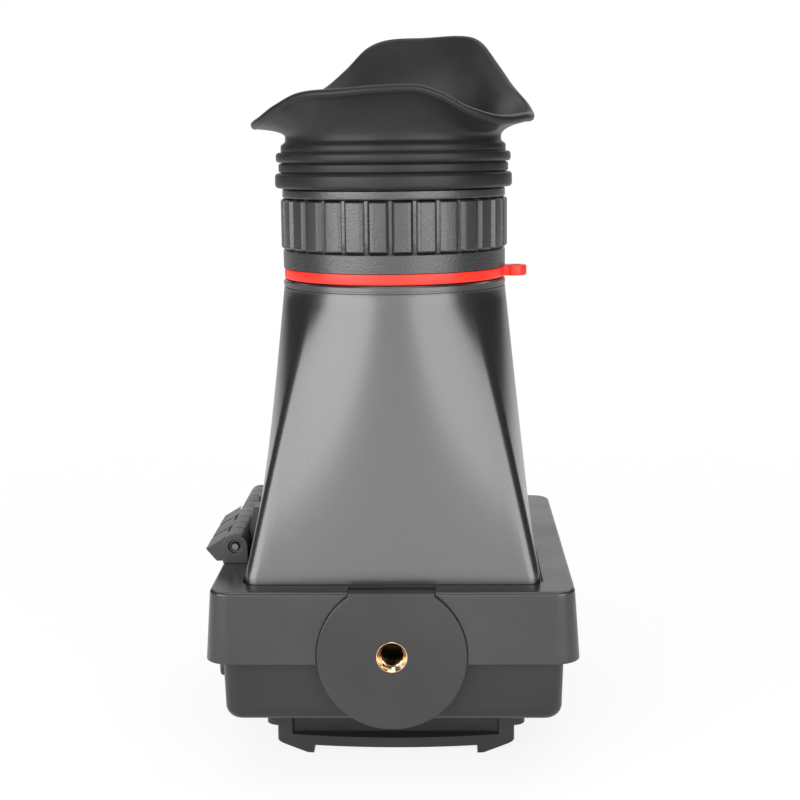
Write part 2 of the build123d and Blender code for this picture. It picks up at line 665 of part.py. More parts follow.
def make_battery_plate():
    lower = extrude(plate_outline(PLATE_WIDTH, PLATE_CORNER), BASE_Z)
    upper = Pos(0, 0, BASE_Z) * extrude(plate_outline(BASE_WIDTH, PLATE_CORNER + 1),
                                        CASE_BOTTOM_Z - BASE_Z)
    body = lower + upper
    pocket_front = PLATE_SHIFT - PLATE_DEPTH / 2 - PLATE_BOW - 1
    pocket_back = PLATE_SHIFT - PLATE_DEPTH / 2 + POCKET_DEPTH
    pocket = box((-POCKET_HALF_WIDTH, pocket_front - 6, POCKET_FLOOR_Z),
                 (POCKET_HALF_WIDTH, pocket_back, CASE_BOTTOM_Z))
    pocket = fillet(pocket.edges().filter_by(Axis.Z), 3.0)
    body -= pocket
    channel_z = (0, CHANNEL_HEIGHT)
    body -= box((-CHANNEL_HALF_WIDTH, -60, channel_z[0]), (CHANNEL_HALF_WIDTH, 60, channel_z[1]))
    flat = CHANNEL_HALF_WIDTH + FOOT_FLAT
    edge = BASE_WIDTH / 2
    slope = FOOT_RISE / (PLATE_WIDTH / 2 - flat)
    for side in (-1, 1):
        wedge = make_face(Polyline((side * flat, 0), (side * edge, 0),
                                   (side * edge, slope * (edge - flat)), close=True))
        body -= along_y(wedge, -60, 120)
    for i in (-1, 0, 1):
        y = PLATE_SHIFT + TAB_PITCH * i
        for side in (-1, 1):
            inner = side * (CHANNEL_HALF_WIDTH - TAB_REACH)
            outer = side * (CHANNEL_HALF_WIDTH + 0.01)
            body += box((min(inner, outer), y - TAB_LENGTH / 2, 0),
                        (max(inner, outer), y + TAB_LENGTH / 2, TAB_THICKNESS))
    for at in four(PLATE_SCREW_X, PLATE_SCREW_Y):
        body -= disc(CASE_SCREW_RADIUS, 0, CASE_BOTTOM_Z, plate_at(at))
        body -= disc(SCREW_HEAD_RADIUS, 0, CHANNEL_HEIGHT + SCREW_HEAD, plate_at(at))
    for x, y in contact_places():
        body -= box((x - CONTACT_WIDTH / 2, y - CONTACT_LENGTH / 2, CHANNEL_HEIGHT),
                    (x + CONTACT_WIDTH / 2, y + CONTACT_LENGTH / 2, CHANNEL_HEIGHT + 3))
    x, y = catch_at()
    reach = CHANNEL_HEIGHT + CATCH_TRAVEL + 3.0
    body -= box((x - CATCH_WIDTH / 2 - BUTTON_FIT, y - CATCH_LENGTH / 2 - BUTTON_FIT, 0),
                (x + CATCH_WIDTH / 2 + BUTTON_FIT, y + CATCH_LENGTH / 2 + BUTTON_FIT, reach + GAP))
    return body


def make_battery_contacts():
    parts = []
    for x, y in contact_places():
        half = CONTACT_WIDTH / 2
        top = CHANNEL_HEIGHT + 3
        foot = box((x - half, y - CONTACT_LENGTH / 2, top - 0.8),
                   (x + half, y + CONTACT_LENGTH / 2, top))
        start = y - CONTACT_LENGTH / 2
        bow = make_face(Plane.YZ * (Polyline((start + 0.6, top - 0.8), (start + 2.8, 1.1),
                                             (start + 3.6, 1.1), (start + 5.8, top - 0.8)))
                        + Plane.YZ * Polyline((start + 5.8, top - 0.8), (start + 5.0, top - 0.8),
                                              (start + 3.4, 1.7), (start + 3.0, 1.7),
                                              (start + 1.4, top - 0.8), (start + 0.6, top - 0.8)))
        parts.append(foot + Pos(x - half, 0, 0) * extrude(bow, CONTACT_WIDTH, dir=(1, 0, 0)))
    return group(parts)


def make_battery_catch():
    """A wedge nosed catch in the channel's roof, pressed up by a battery that slides in."""
    x, y = catch_at()
    low = 0.5
    top = CHANNEL_HEIGHT + 3.0
    front = y - CATCH_LENGTH / 2
    back = y + CATCH_LENGTH / 2
    side = make_face(Plane.YZ * Polyline((front, top), (front, CHANNEL_HEIGHT), (back - 1.2, low),
                                         (back, low), (back, top), close=True))
    return Pos(x - CATCH_WIDTH / 2, 0, 0) * extrude(side, CATCH_WIDTH, dir=(1, 0, 0))


def make_plate_screws():
    low = CHANNEL_HEIGHT
    length = FLOOR_Z - low
    return group(screw(SCREW_HEAD_RADIUS, SCREW_HEAD, CASE_SCREW_RADIUS, length, plate_at(at), low)
                 for at in four(PLATE_SCREW_X, PLATE_SCREW_Y))


# Hinge
def pitch_start(i):
    return HINGE_START_Y + EAR_THICKNESS + HINGE_PITCH * i


def knuckle_length():
    return HINGE_PITCH / 2 - GAP


def hinge_end_y():
    return pitch_start(HINGE_PITCHES) + knuckle_length()


def hinge_screw_places():
    half = knuckle_length() / 2
    return [pitch_start(i) + half for i in (0, HINGE_PITCHES)]


def knuckle_outline():
    """A round knuckle on a foot as wide as itself, round the pin axis."""
    foot = Pos(0, -HINGE_RISE / 2) * Rectangle(2 * KNUCKLE_RADIUS, HINGE_RISE)
    return Circle(KNUCKLE_RADIUS) + foot


def finger_outline():
    """The stop finger: its top leaves the knuckle as a tangent and slopes down past the frame."""
    slope = math.radians(FINGER_SLOPE)
    touch = (-KNUCKLE_RADIUS * math.sin(slope), KNUCKLE_RADIUS * math.cos(slope))
    tip_z = touch[1] - (FINGER_REACH + touch[0]) * math.tan(slope)
    floor = -HINGE_RISE + 0.2
    return make_face(Polyline(touch, (-FINGER_REACH, tip_z), (-FINGER_TOE_X, floor),
                              (0, floor), (0, 0), close=True))


def make_hinge_bracket():
    at = {"x": HINGE_X, "z": HINGE_Z}
    length = knuckle_length()
    body = None
    for i in range(HINGE_PITCHES + 1):
        knuckle = along_y(knuckle_outline(), pitch_start(i), length, **at)
        body = knuckle if body is None else body + knuckle
    sole = box((HINGE_X - KNUCKLE_RADIUS, pitch_start(0), FRAME_TOP_Z),
               (HINGE_X + KNUCKLE_RADIUS, hinge_end_y(), FRAME_TOP_Z + 0.6))
    body += sole
    swept = KNUCKLE_RADIUS + GAP
    for i in range(FINGER_PITCHES):
        start = pitch_start(i)
        finger = along_y(finger_outline(), start, HINGE_PITCH - FINGER_GAP, **at)
        room = along_y(Circle(swept), start + length, HINGE_PITCH - length, **at)
        body += finger - room
    body -= along_y(Circle(PIN_RADIUS + RUNNING), HINGE_START_Y, 60, **at)
    for y in hinge_screw_places():
        body -= disc(SMALL_SCREW_RADIUS, FRAME_TOP_Z, FRAME_TOP_Z + HINGE_SCREW_BITE,
                     (HINGE_SCREW_X, y))
    return body


def make_hinge_end_ears():
    at = {"x": HINGE_X, "z": HINGE_Z}
    parts = []
    for start, outer in ((HINGE_START_Y, HINGE_START_Y), (hinge_end_y(), hinge_end_y())):
        ear = along_y(knuckle_outline(), start, EAR_THICKNESS, **at)
        ear -= along_y(Circle(PIN_RADIUS + RUNNING), start, EAR_THICKNESS, **at)
        recess_start = start if start == HINGE_START_Y else start + EAR_THICKNESS - EAR_RECESS
        ear -= along_y(Circle(EAR_RECESS_RADIUS), recess_start, EAR_RECESS, **at)
        parts.append(ear)
    return group(parts)


def make_hinge_pin():
    start = HINGE_START_Y + 0.2
    length = hinge_end_y() + EAR_THICKNESS - 0.2 - start
    pin = along_y(Circle(PIN_RADIUS), start, length, x=HINGE_X, z=HINGE_Z)
    return chamfer(pin.edges().filter_by(GeomType.CIRCLE), 0.2)


def make_hinge_screws():
    """Screws up through the frame roof into the bracket."""
    low = ROOF_Z - SMALL_HEAD
    length = SMALL_HEAD + ROOF + HINGE_SCREW_BITE
    return group(screw(SMALL_HEAD_RADIUS, SMALL_HEAD, SMALL_SCREW_RADIUS, length, (HINGE_SCREW_X, y),
                       low) for y in hinge_screw_places())


def hood_side_x(z):
    """X of the hood's -X side at height z."""
    low = HOOD_RIM_Z + HOOD_SKIRT
    high = HOOD_TOP_Z - HOOD_NECK
    share = max(0.0, (z - low) / (high - low))
    return -(HOOD_WIDTH / 2 + (HOOD_TOP_RADIUS - HOOD_WIDTH / 2) * share)


def leaf_profile(rise):
    """The loupe's half of the hinge: a knuckle, a dished web and a tab up the hood's side."""
    top_z = HINGE_Z + rise
    wall_top = hood_side_x(top_z) - HINGE_X
    wall_low = hood_side_x(HINGE_Z - 1.8) - HINGE_X
    outer_top = wall_top - LEAF_THICKNESS
    outer_low = wall_low - LEAF_THICKNESS
    dish = Polyline((0, -1.4), (wall_low, -1.8), (wall_top, rise), (outer_top, rise),
                    (outer_low + 0.05, 1.6))
    back = ThreePointArc((outer_low + 0.05, 1.6), (outer_low - 0.35, 0.62), (outer_low - 1.0, 1.2))
    close = Polyline((outer_low - 1.0, 1.2), (0, 1.2), (0, -1.4))
    return make_face(dish + back + close) + Circle(KNUCKLE_RADIUS)


def make_hinge_leaf():
    at = {"x": HINGE_X, "z": HINGE_Z}
    length = knuckle_length()
    body = None
    for i in range(HINGE_PITCHES):
        start = pitch_start(i) + length + GAP
        rise = LEAF_TAB_RISE if i < FINGER_PITCHES else 3.2
        knuckle = along_y(leaf_profile(3.2), start, length, **at)
        tab = along_y(leaf_profile(rise) - Circle(KNUCKLE_RADIUS + GAP), start - GAP, length + GAP,
                      **at)
        piece = knuckle + tab
        body = piece if body is None else body + piece
    low = hood_side_x(HINGE_Z - 1.8) - HINGE_X
    strip = make_face(Polyline((low, -1.8), (hood_side_x(HINGE_Z + 3.2) - HINGE_X, 3.2),
                               (low - LEAF_THICKNESS + 0.2, 3.2), (low - LEAF_THICKNESS + 0.05, 1.9),
                               (low - LEAF_THICKNESS + 0.9, -0.4), (low - 0.6, -1.8), close=True))
    spine_start = pitch_start(0) + length
    spine = along_y(strip, spine_start, pitch_start(HINGE_PITCHES) - GAP - spine_start, **at)
    body += spine
    body -= along_y(Circle(PIN_RADIUS + RUNNING), HINGE_START_Y, 60, **at)
    for y, z in leaf_screw_places():
        body -= along_x(SMALL_SCREW_RADIUS, hood_side_x(z) - LEAF_SCREW_BITE, 3, y, z)
    return body


# Loupe
def hood_shape(offset=0.0, low=None, high=None):
    """The rectangle-to-circle hood: four flat sides and four conical corners."""
    low = HOOD_RIM_Z if low is None else low
    skirt_top = HOOD_RIM_Z + HOOD_SKIRT
    neck_z = HOOD_TOP_Z - HOOD_NECK
    width = HOOD_WIDTH + 2 * offset
    depth = HOOD_DEPTH + 2 * offset
    corner = max(HOOD_CORNER + offset, 0.8)
    top_size = 2 * (HOOD_TOP_RADIUS + offset)
    top_corner = top_size / 2 - HOOD_FLAT / 2
    base = Pos(0, 0, skirt_top) * RectangleRounded(width, depth, corner)
    top = Pos(0, 0, neck_z) * RectangleRounded(top_size, top_size, top_corner)
    hood = loft([base, top], ruled=True)
    return hood + upright_block(width, depth, corner, low, skirt_top)


def make_loupe_housing():
    outer = hood_shape()
    neck_z = HOOD_TOP_Z - HOOD_NECK
    neck = turned((0, neck_z), (HOOD_TOP_RADIUS, neck_z), (HOOD_TOP_RADIUS, neck_z + 0.7),
                  (HOOD_TOP_RADIUS - NECK_GROOVE, neck_z + 0.8),
                  (HOOD_TOP_RADIUS - NECK_GROOVE, neck_z + 1.2),
                  (HOOD_TOP_RADIUS, neck_z + 1.3), (HOOD_TOP_RADIUS, HOOD_TOP_Z - 0.4),
                  (HOOD_TOP_RADIUS - 0.4, HOOD_TOP_Z), (0, HOOD_TOP_Z))
    body = outer + neck
    body -= hood_shape(-HOOD_WALL)
    body -= disc(barrel_foot_radius(), neck_z - 4, HOOD_TOP_Z)
    for y in (-MAGNET_Y, MAGNET_Y):
        body += box((MAGNET_X - 2.8, y - 4, HOOD_RIM_Z), (HOOD_WIDTH / 2 - 1, y + 4, HOOD_RIM_Z + 3))
        body -= disc(MAGNET_RADIUS, HOOD_RIM_Z, HOOD_RIM_Z + MAGNET_THICKNESS, (MAGNET_X, y))
    for y, z in leaf_screw_places():
        body -= along_x(SMALL_SCREW_RADIUS, -HOOD_WIDTH / 2, 8, y, z)
    return body


def barrel_foot_radius():
    return HOOD_TOP_RADIUS - HOOD_WALL


def make_light_seal():
    """A soft strip on the hood's inner rim, clear of the frame's seat."""
    width = HOOD_WIDTH - 2 * HOOD_WALL
    depth = HOOD_DEPTH - 2 * HOOD_WALL
    low = HOOD_RIM_Z
    outer = upright_block(width, depth, 0.8, low, low + 2.0)
    inner = upright_block(width - 2 * SEAL_THICKNESS, depth - 2 * SEAL_THICKNESS, 0.8, low, low + 2.0)
    seal = outer - inner
    for y in (-MAGNET_Y, MAGNET_Y):
        seal -= box((MAGNET_X - 3.1, y - 4.3, low), (HOOD_WIDTH / 2, y + 4.3, low + 3))
    return seal


def make_magnets(low, high):
    return group(disc(MAGNET_RADIUS, low, high, (MAGNET_X, y)) for y in (-MAGNET_Y, MAGNET_Y))


def leaf_screw_places():
    half = knuckle_length() / 2
    z = HINGE_Z + LEAF_TAB_RISE - 2.4
    return [(pitch_start(i) + knuckle_length() + half, z) for i in range(FINGER_PITCHES)]


def make_leaf_screws():
    """Screws from inside the hood into the leaf's tabs."""
    parts = []
    for y, z in leaf_screw_places():
        tip = hood_side_x(z) - LEAF_SCREW_BITE
        inner = hood_side_x(z) + HOOD_WALL + LEAF_SCREW_STAND
        head = along_x(SMALL_HEAD_RADIUS, inner, SMALL_HEAD, y, z)
        parts.append(head + along_x(SMALL_SCREW_RADIUS, tip, inner - tip, y, z))
    return group(parts)


def make_eyepiece_barrel():
    foot_z = HOOD_TOP_Z - HOOD_NECK - 3.0
    body = turned((BARREL_BORE, foot_z), (barrel_foot_radius(), foot_z),
                  (barrel_foot_radius(), COLLAR_Z), (COLLAR_RADIUS, COLLAR_Z),
                  (COLLAR_RADIUS, COLLAR_Z + LOWER_COLLAR - 0.4),
                  (COLLAR_RADIUS - 0.4, COLLAR_Z + LOWER_COLLAR),
                  (BARREL_RADIUS, COLLAR_Z + LOWER_COLLAR), (BARREL_RADIUS, SPIGOT_TOP_Z - 1.6),
                  (BARREL_BORE, SPIGOT_TOP_Z - 1.6))
    for angle in drive_angles():
        slot_low = PIN_Z - DRIVE_PIN_RADIUS - RUNNING
        slot_high = PIN_Z + FOCUS_TRAVEL + DRIVE_PIN_RADIUS + RUNNING
        half = DRIVE_PIN_RADIUS + RUNNING
        slot = box((BARREL_BORE - 1, -half, slot_low), (BARREL_RADIUS + 1, half, slot_high))
        body -= Rot(0, 0, angle) * slot
    return body


def drive_angles():
    return [360 / DRIVE_PINS * i + 30 for i in range(DRIVE_PINS)]


def make_lanyard_ring():
    low = LANYARD_Z
    height = LANYARD_HEIGHT
    centre = LUG_REACH - LUG_RADIUS
    outline = Circle(LANYARD_RADIUS) + Pos(centre, 0) * Circle(LUG_RADIUS)
    outline += Pos((centre + LANYARD_RADIUS) / 2 - 1, 0) * Rectangle(centre - LANYARD_RADIUS + 4,
                                                                      2 * LUG_RADIUS - 0.8)
    outline -= Circle(LANYARD_BORE)
    outline -= Pos(centre + 0.3, 0) * Circle(EYELET_RADIUS)
    body = Pos(0, 0, low) * extrude(outline, height)
    return body


def make_top_collar():
    low = TOP_COLLAR_Z
    bead_z = SPIGOT_TOP_Z - BEAD_HEIGHT
    return turned((BARREL_RADIUS, low), (COLLAR_RADIUS - 0.3, low), (COLLAR_RADIUS, low + 0.3),
                  (COLLAR_RADIUS, SPIGOT_Z), (SPIGOT_RADIUS, SPIGOT_Z), (SPIGOT_RADIUS, bead_z),
                  (BEAD_RADIUS, bead_z + 0.4), (BEAD_RADIUS, SPIGOT_TOP_Z - 0.5),
                  (BEAD_RADIUS - 0.5, SPIGOT_TOP_Z), (BARREL_BORE, SPIGOT_TOP_Z),
                  (BARREL_BORE, SPIGOT_TOP_Z - 1.6), (BARREL_RADIUS, SPIGOT_TOP_Z - 1.6))


def make_focus_ring():
    low = RING_Z
    high = RING_TOP_Z
    bore = BARREL_RADIUS + RUNNING
    body = turned((bore, low), (RING_ROOT_RADIUS, low), (RING_ROOT_RADIUS, low + 0.1),
                  (RING_RADIUS - 0.3, low + 0.1), (RING_RADIUS, low + 0.4),
                  (RING_RADIUS, high - 0.4), (RING_RADIUS - 0.3, high - 0.1),
                  (RING_ROOT_RADIUS, high - 0.1), (RING_ROOT_RADIUS, high), (bore, high),
                  (bore, high - LAND), (RING_RELIEF_RADIUS, high - LAND),
                  (RING_RELIEF_RADIUS, low + LAND), (bore, low + LAND))
    groove = box((RING_ROOT_RADIUS, -RING_GROOVE / 2, low + 0.1),
                 (RING_RADIUS + 1, RING_GROOVE / 2, high - 0.1))
    grooves = [Rot(0, 0, 360 / RING_PADS * i) * groove for i in range(RING_PADS)]
    return body - grooves


def make_lens_cell():
    top = CELL_Z + CELL_HEIGHT
    bore = CELL_RADIUS - CELL_WALL
    body = turned((bore - 1.0, CELL_Z), (CELL_RADIUS, CELL_Z), (CELL_RADIUS, top), (bore, top),
                  (bore, CELL_Z + 1.0), (bore - 1.0, CELL_Z + 1.0))
    for angle in drive_angles():
        body -= Rot(0, 0, angle) * along_x(DRIVE_PIN_RADIUS, bore, CELL_WALL + 1, 0, PIN_Z)
    return body


def make_drive_pins():
    start = CELL_RADIUS - CELL_WALL
    length = RING_RELIEF_RADIUS - GAP - start
    pin = along_x(DRIVE_PIN_RADIUS, start + 0.02, length, 0, PIN_Z)
    return group(Rot(0, 0, angle) * pin for angle in drive_angles())


def cap(radius, level, sag):
    """A spherical cap on a disc at height level; it bulges down where sag is below zero."""
    ball = (radius**2 + sag**2) / (2 * abs(sag))
    centre = level + sag - math.copysign(ball, sag)
    whole = Pos(0, 0, centre) * Sphere(ball)
    low, high = sorted((level, level + sag))
    return whole & disc(radius + 1, low, high)


def lens(radius, low, rim, sag_below, sag_above):
    """A lens with a flat ground rim, and a spherical bulge inside it on each face."""
    curved = radius - LENS_SEAT
    high = low + rim
    return disc(radius, low, high) + cap(curved, low, -sag_below) + cap(curved, high, sag_above)


def lens_radius():
    return CELL_RADIUS - CELL_WALL


def make_field_lens():
    return lens(lens_radius(), CELL_Z + 1.0, LENS_RIM, 0.8, 1.2)


def make_lens_spacer():
    low = CELL_Z + 1.0 + LENS_RIM
    return tube(lens_radius(), lens_radius() - 0.9, low, eye_lens_z())


def eye_lens_z():
    return CELL_Z + CELL_HEIGHT - 1.6 - LENS_RIM


def make_eye_lens():
    return lens(lens_radius(), eye_lens_z(), LENS_RIM, 0.8, 0.9)


def make_lens_retainer():
    low = CELL_Z + CELL_HEIGHT - 1.6
    return tube(lens_radius(), lens_radius() - 1.4, low, CELL_Z + CELL_HEIGHT)


# Eyecup
def cup_heights():
    band = CUP_Z + RIB_LOW_HEIGHT
    rib = band + BAND_HEIGHT
    step = rib + RIB_TOP_HEIGHT
    neck = step + STEP_HEIGHT
    return band, rib, step, neck, neck + NECK_HEIGHT


def make_eyecup():
    band, rib, step, neck, flare = cup_heights()
    inner = BEAD_RADIUS + GAP
    core = RIB_LOW_RADIUS - 0.5
    bore = inner - 1.2
    foot = turned((inner, CUP_Z), (core, CUP_Z), (RIB_LOW_RADIUS, CUP_Z + 0.7),
                  (RIB_LOW_RADIUS, band - 0.7), (core, band), (BAND_RADIUS, band + 0.1),
                  (BAND_RADIUS, rib - 0.1), (RIB_TOP_RADIUS - 0.5, rib), (RIB_TOP_RADIUS, rib + 0.7),
                  (RIB_TOP_RADIUS, step - 0.7), (RIB_TOP_RADIUS - 0.5, step), (STEP_RADIUS, step + 0.2),
                  (STEP_RADIUS, neck - 0.3), (NECK_RADIUS, neck + 0.5),
                  (NECK_RADIUS, flare - FLARE_SHOULDER), (NECK_RADIUS - FLARE_SHOULDER, flare),
                  (bore, flare), (bore, SPIGOT_TOP_Z + GAP), (inner, SPIGOT_TOP_Z + GAP))
    return foot + make_flare(flare - 0.8, bore + 0.2)


def lip_at(angle):
    """Radius and height of the lip at one angle, smooth through the points of LIP."""
    angle %= 360
    count = len(LIP)
    after = next((i for i in range(count) if LIP[i][0] > angle), count)
    points = []
    for i in range(after - 2, after + 2):
        turn, place = divmod(i, count)
        points.append((LIP[place][0] + 360 * turn, LIP[place][1], LIP[place][2]))
    (a0, *p0), (a1, *p1), (a2, *p2), (a3, *p3) = points
    t = (angle - a1) / (a2 - a1)
    result = []
    for v0, v1, v2, v3 in zip(p0, p1, p2, p3):
        slope_1 = (v2 - v0) / (a2 - a0) * (a2 - a1)
        slope_2 = (v3 - v1) / (a3 - a1) * (a2 - a1)
        bend = (2 * t**3 - 3 * t**2 + 1) * v1 + (t**3 - 2 * t**2 + t) * slope_1
        result.append(bend + (3 * t**2 - 2 * t**3) * v2 + (t**3 - t**2) * slope_2)
    reach, height = result
    return NECK_RADIUS + reach, height


def flare_section(degrees, low, bore):
    """The wall of the eyecup's flare in the plane at one angle: concave outside, round lip."""
    angle = math.radians(degrees)
    plane = Plane(origin=(0, 0, 0), x_dir=(math.cos(angle), math.sin(angle), 0),
                  z_dir=(math.sin(angle), -math.cos(angle), 0))
    lip_radius, lip_z = lip_at(degrees)
    start_r = NECK_RADIUS - FLARE_SHOULDER / 2
    reach = lip_radius - start_r
    climb = lip_z - low
    pull = (start_r + FLARE_BEND[0] * reach, low + FLARE_BEND[1] * climb)
    lean = math.atan2(lip_z - pull[1], lip_radius - pull[0])
    inward = (-math.sin(lean) * LIP_WALL, math.cos(lean) * LIP_WALL)
    tip_out = (lip_radius, lip_z - 0.5 * LIP_WALL)
    tip_in = (tip_out[0] + inward[0], tip_out[1] + inward[1])
    pull_in = (pull[0] + inward[0], pull[1] + inward[1])
    crown = ((tip_out[0] + tip_in[0]) / 2 + math.cos(lean) * LIP_WALL / 2,
             (tip_out[1] + tip_in[1]) / 2 + math.sin(lean) * LIP_WALL / 2)
    outside = Bezier((start_r, low), pull, tip_out)
    rim = ThreePointArc(tip_out, crown, tip_in)
    inside = Bezier(tip_in, pull_in, (bore, low))
    floor = Line((bore, low), (start_r, low))
    return plane * make_face(outside + rim + inside + floor)


def make_flare(low, bore):
    """The flare as one closed loft round the axis, back to its first section."""
    step = 360 / FLARE_SECTIONS
    sections = [flare_section(step * i, low, bore) for i in range(FLARE_SECTIONS)]
    wires = [section.faces()[0].outer_wire() for section in sections]
    return Solid.make_loft(wires + [wires[0]])


def make_eyecup_clip():
    """The stiff ring in the eyecup's foot, which turns below the collar's bead."""
    return tube(BEAD_RADIUS + GAP, SPIGOT_RADIUS + GAP, CUP_Z, SPIGOT_TOP_Z - BEAD_HEIGHT - GAP)


# The assembly
nodes = {
    "front_case": make_front_case(),
    "rear_case": make_rear_case(),
    "mount_disc": make_mount_disc(),
    "thread_insert": make_thread_insert(),
    "mount_backing_plate": make_mount_backing_plate(),
    "mount_screws": make_mount_screws(),
    "glass_gasket": make_glass_gasket(),
    "cover_glass": make_cover_glass(),
    "lcd_panel": make_lcd_panel(),
    "backlight": make_backlight(),
    "lcd_bracket": make_lcd_bracket(),
    "lcd_screws": make_lcd_screws(),
    "main_board": make_main_board(),
    "board_components": make_board_components(),
    "ribbon_cable": make_ribbon_cable(),
    "button_switches": make_button_switches(),
    "video_in_socket": make_video_socket(SOCKET_X[0]),
    "video_out_socket": make_video_socket(SOCKET_X[1]),
    "power_jack": make_power_jack(),
    "case_screws": make_case_screws(),
    "battery_plate": make_battery_plate(),
    "battery_contacts": make_battery_contacts(),
    "battery_catch": make_battery_catch(),
    "plate_screws": make_plate_screws(),
    "hinge_bracket": make_hinge_bracket(),
    "hinge_end_ears": make_hinge_end_ears(),
    "hinge_pin": make_hinge_pin(),
    "hinge_screws": make_hinge_screws(),
    "frame_magnets": make_magnets(SEAT_Z - MAGNET_THICKNESS / 2, SEAT_Z),
    "loupe_housing": make_loupe_housing(),
    "light_seal": make_light_seal(),
    "hinge_leaf": make_hinge_leaf(),
    "leaf_screws": make_leaf_screws(),
    "loupe_magnets": make_magnets(HOOD_RIM_Z, HOOD_RIM_Z + MAGNET_THICKNESS),
    "eyepiece_barrel": make_eyepiece_barrel(),
    "lanyard_ring": make_lanyard_ring(),
    "top_collar": make_top_collar(),
    "focus_ring": make_focus_ring(),
    "lens_cell": make_lens_cell(),
    "drive_pins": make_drive_pins(),
    "field_lens": make_field_lens(),
    "lens_spacer": make_lens_spacer(),
    "eye_lens": make_eye_lens(),
    "lens_retainer": make_lens_retainer(),
    "eyecup": make_eyecup(),
    "eyecup_clip": make_eyecup_clip(),
}
for name, y in zip(BUTTON_NAMES, button_places()):
    nodes[name] = make_button(y)

# The part's origin is on the thread's axis, where the thread starts behind its chamfered mouth.
origin = Location((0, -(DISC_FACE_Y + MOUTH_DEPTH), -THREAD_Z))
for name, solid in nodes.items():
    export_step(origin * solid, f"parts/{name}.step")
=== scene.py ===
import bpy
import json
import math
from mathutils import Matrix, Vector


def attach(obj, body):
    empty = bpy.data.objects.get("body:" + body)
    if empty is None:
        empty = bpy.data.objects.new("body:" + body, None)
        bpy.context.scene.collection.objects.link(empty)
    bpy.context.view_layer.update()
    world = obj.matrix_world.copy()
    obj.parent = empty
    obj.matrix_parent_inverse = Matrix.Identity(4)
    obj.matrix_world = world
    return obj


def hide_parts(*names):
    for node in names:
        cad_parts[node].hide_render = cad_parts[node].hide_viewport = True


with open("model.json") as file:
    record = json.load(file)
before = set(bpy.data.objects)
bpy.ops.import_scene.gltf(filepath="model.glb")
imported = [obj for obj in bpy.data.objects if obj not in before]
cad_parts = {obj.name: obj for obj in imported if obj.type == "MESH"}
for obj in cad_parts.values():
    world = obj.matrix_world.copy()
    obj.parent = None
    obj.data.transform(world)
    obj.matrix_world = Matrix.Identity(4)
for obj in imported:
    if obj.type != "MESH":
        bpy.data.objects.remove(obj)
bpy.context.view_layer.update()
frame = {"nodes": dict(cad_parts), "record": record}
nodes = frame["nodes"]
slot_of = {part["node"]: part["material_slot"] for part in frame["record"]["subparts"]}
body_of = {n: b for b, names in frame["record"]["behaviour"]["bodies"].items() for n in names}

MM = 0.001
AXIS_Y = 47.75          # optical axis behind the start of the mounting thread, mm
FEET_Z = -29.9          # the surface that the feet stand on, mm


def place(x, y, z):
    """A point given in mm from the optical axis and the feet, in the part's own frame."""
    return Vector((x, y + AXIS_Y, z + FEET_Z)) * MM


# ---- shaping -------------------------------------------------------------------------------
def clear_selection():
    if bpy.context.object and bpy.context.object.mode != "OBJECT":
        bpy.ops.object.mode_set(mode="OBJECT")
    bpy.ops.object.select_all(action="DESELECT")


def make_active(obj):
    clear_selection()
    obj.select_set(True)
    bpy.context.view_layer.objects.active = obj


def smooth(obj, angle=32.0):
    make_active(obj)
    bpy.ops.object.shade_smooth_by_angle(angle=math.radians(angle))


RING_STEP = 0.01        # spacing of the rings before they are drawn to their outlines, m


def ring_stack(name, rings, segments, where, angle=32.0):
    """A circle extruded ring by ring, then every ring drawn to its own outline."""
    clear_selection()
    bpy.ops.mesh.primitive_circle_add(vertices=segments, radius=0.05, fill_type="NOTHING")
    obj = bpy.context.object
    obj.name = name
    bpy.ops.object.mode_set(mode="EDIT")
    bpy.ops.mesh.select_all(action="SELECT")
    for _ in range(rings - 1):
        bpy.ops.mesh.extrude_region_move(TRANSFORM_OT_translate={"value": (0, 0, RING_STEP)})
    bpy.ops.object.mode_set(mode="OBJECT")
    for v in obj.data.vertices:
        ring = round(v.co.z / RING_STEP)
        step = round(math.atan2(v.co.y, v.co.x) / math.tau * segments) % segments
        v.co = where(ring, step)
    bpy.ops.object.mode_set(mode="EDIT")
    bpy.ops.mesh.select_all(action="SELECT")
    bpy.ops.mesh.remove_doubles(threshold=1e-6)
    bpy.ops.mesh.normals_make_consistent(inside=False)
    bpy.ops.object.mode_set(mode="OBJECT")
    smooth(obj, angle)
    return obj


def eased_copy(node, width, angle=35.0, steps=2, reshape=None):
    """A copy of a rigid node with its sharp edges eased, as they are on a moulded or cut piece."""
    mesh = nodes[node].data.copy()
    if reshape:
        for v in mesh.vertices:
            v.co = reshape(v.co)
    obj = bpy.data.objects.new(node + "_eased", mesh)
    bpy.context.scene.collection.objects.link(obj)
    make_active(obj)
    if mesh.has_custom_normals:
        bpy.ops.mesh.customdata_custom_splitnormals_clear()
    bpy.ops.object.mode_set(mode="EDIT")
    bpy.ops.mesh.select_all(action="SELECT")
    bpy.ops.mesh.remove_doubles(threshold=2e-6)
    bpy.ops.mesh.dissolve_limited(angle_limit=math.radians(0.6))
    bpy.ops.object.mode_set(mode="OBJECT")
    bevel = obj.modifiers.new("ease", "BEVEL")
    bevel.width = width * MM
    bevel.segments = steps
    bevel.limit_method = "ANGLE"
    bevel.angle_limit = math.radians(angle)
    bevel.use_clamp_overlap = True
    bpy.ops.object.modifier_apply(modifier=bevel.name)
    smooth(obj, 34.0)
    even = obj.modifiers.new("even", "WEIGHTED_NORMAL")
    even.weight = 100
    even.keep_sharp = True
    bpy.ops.object.modifier_apply(modifier=even.name)
    return obj


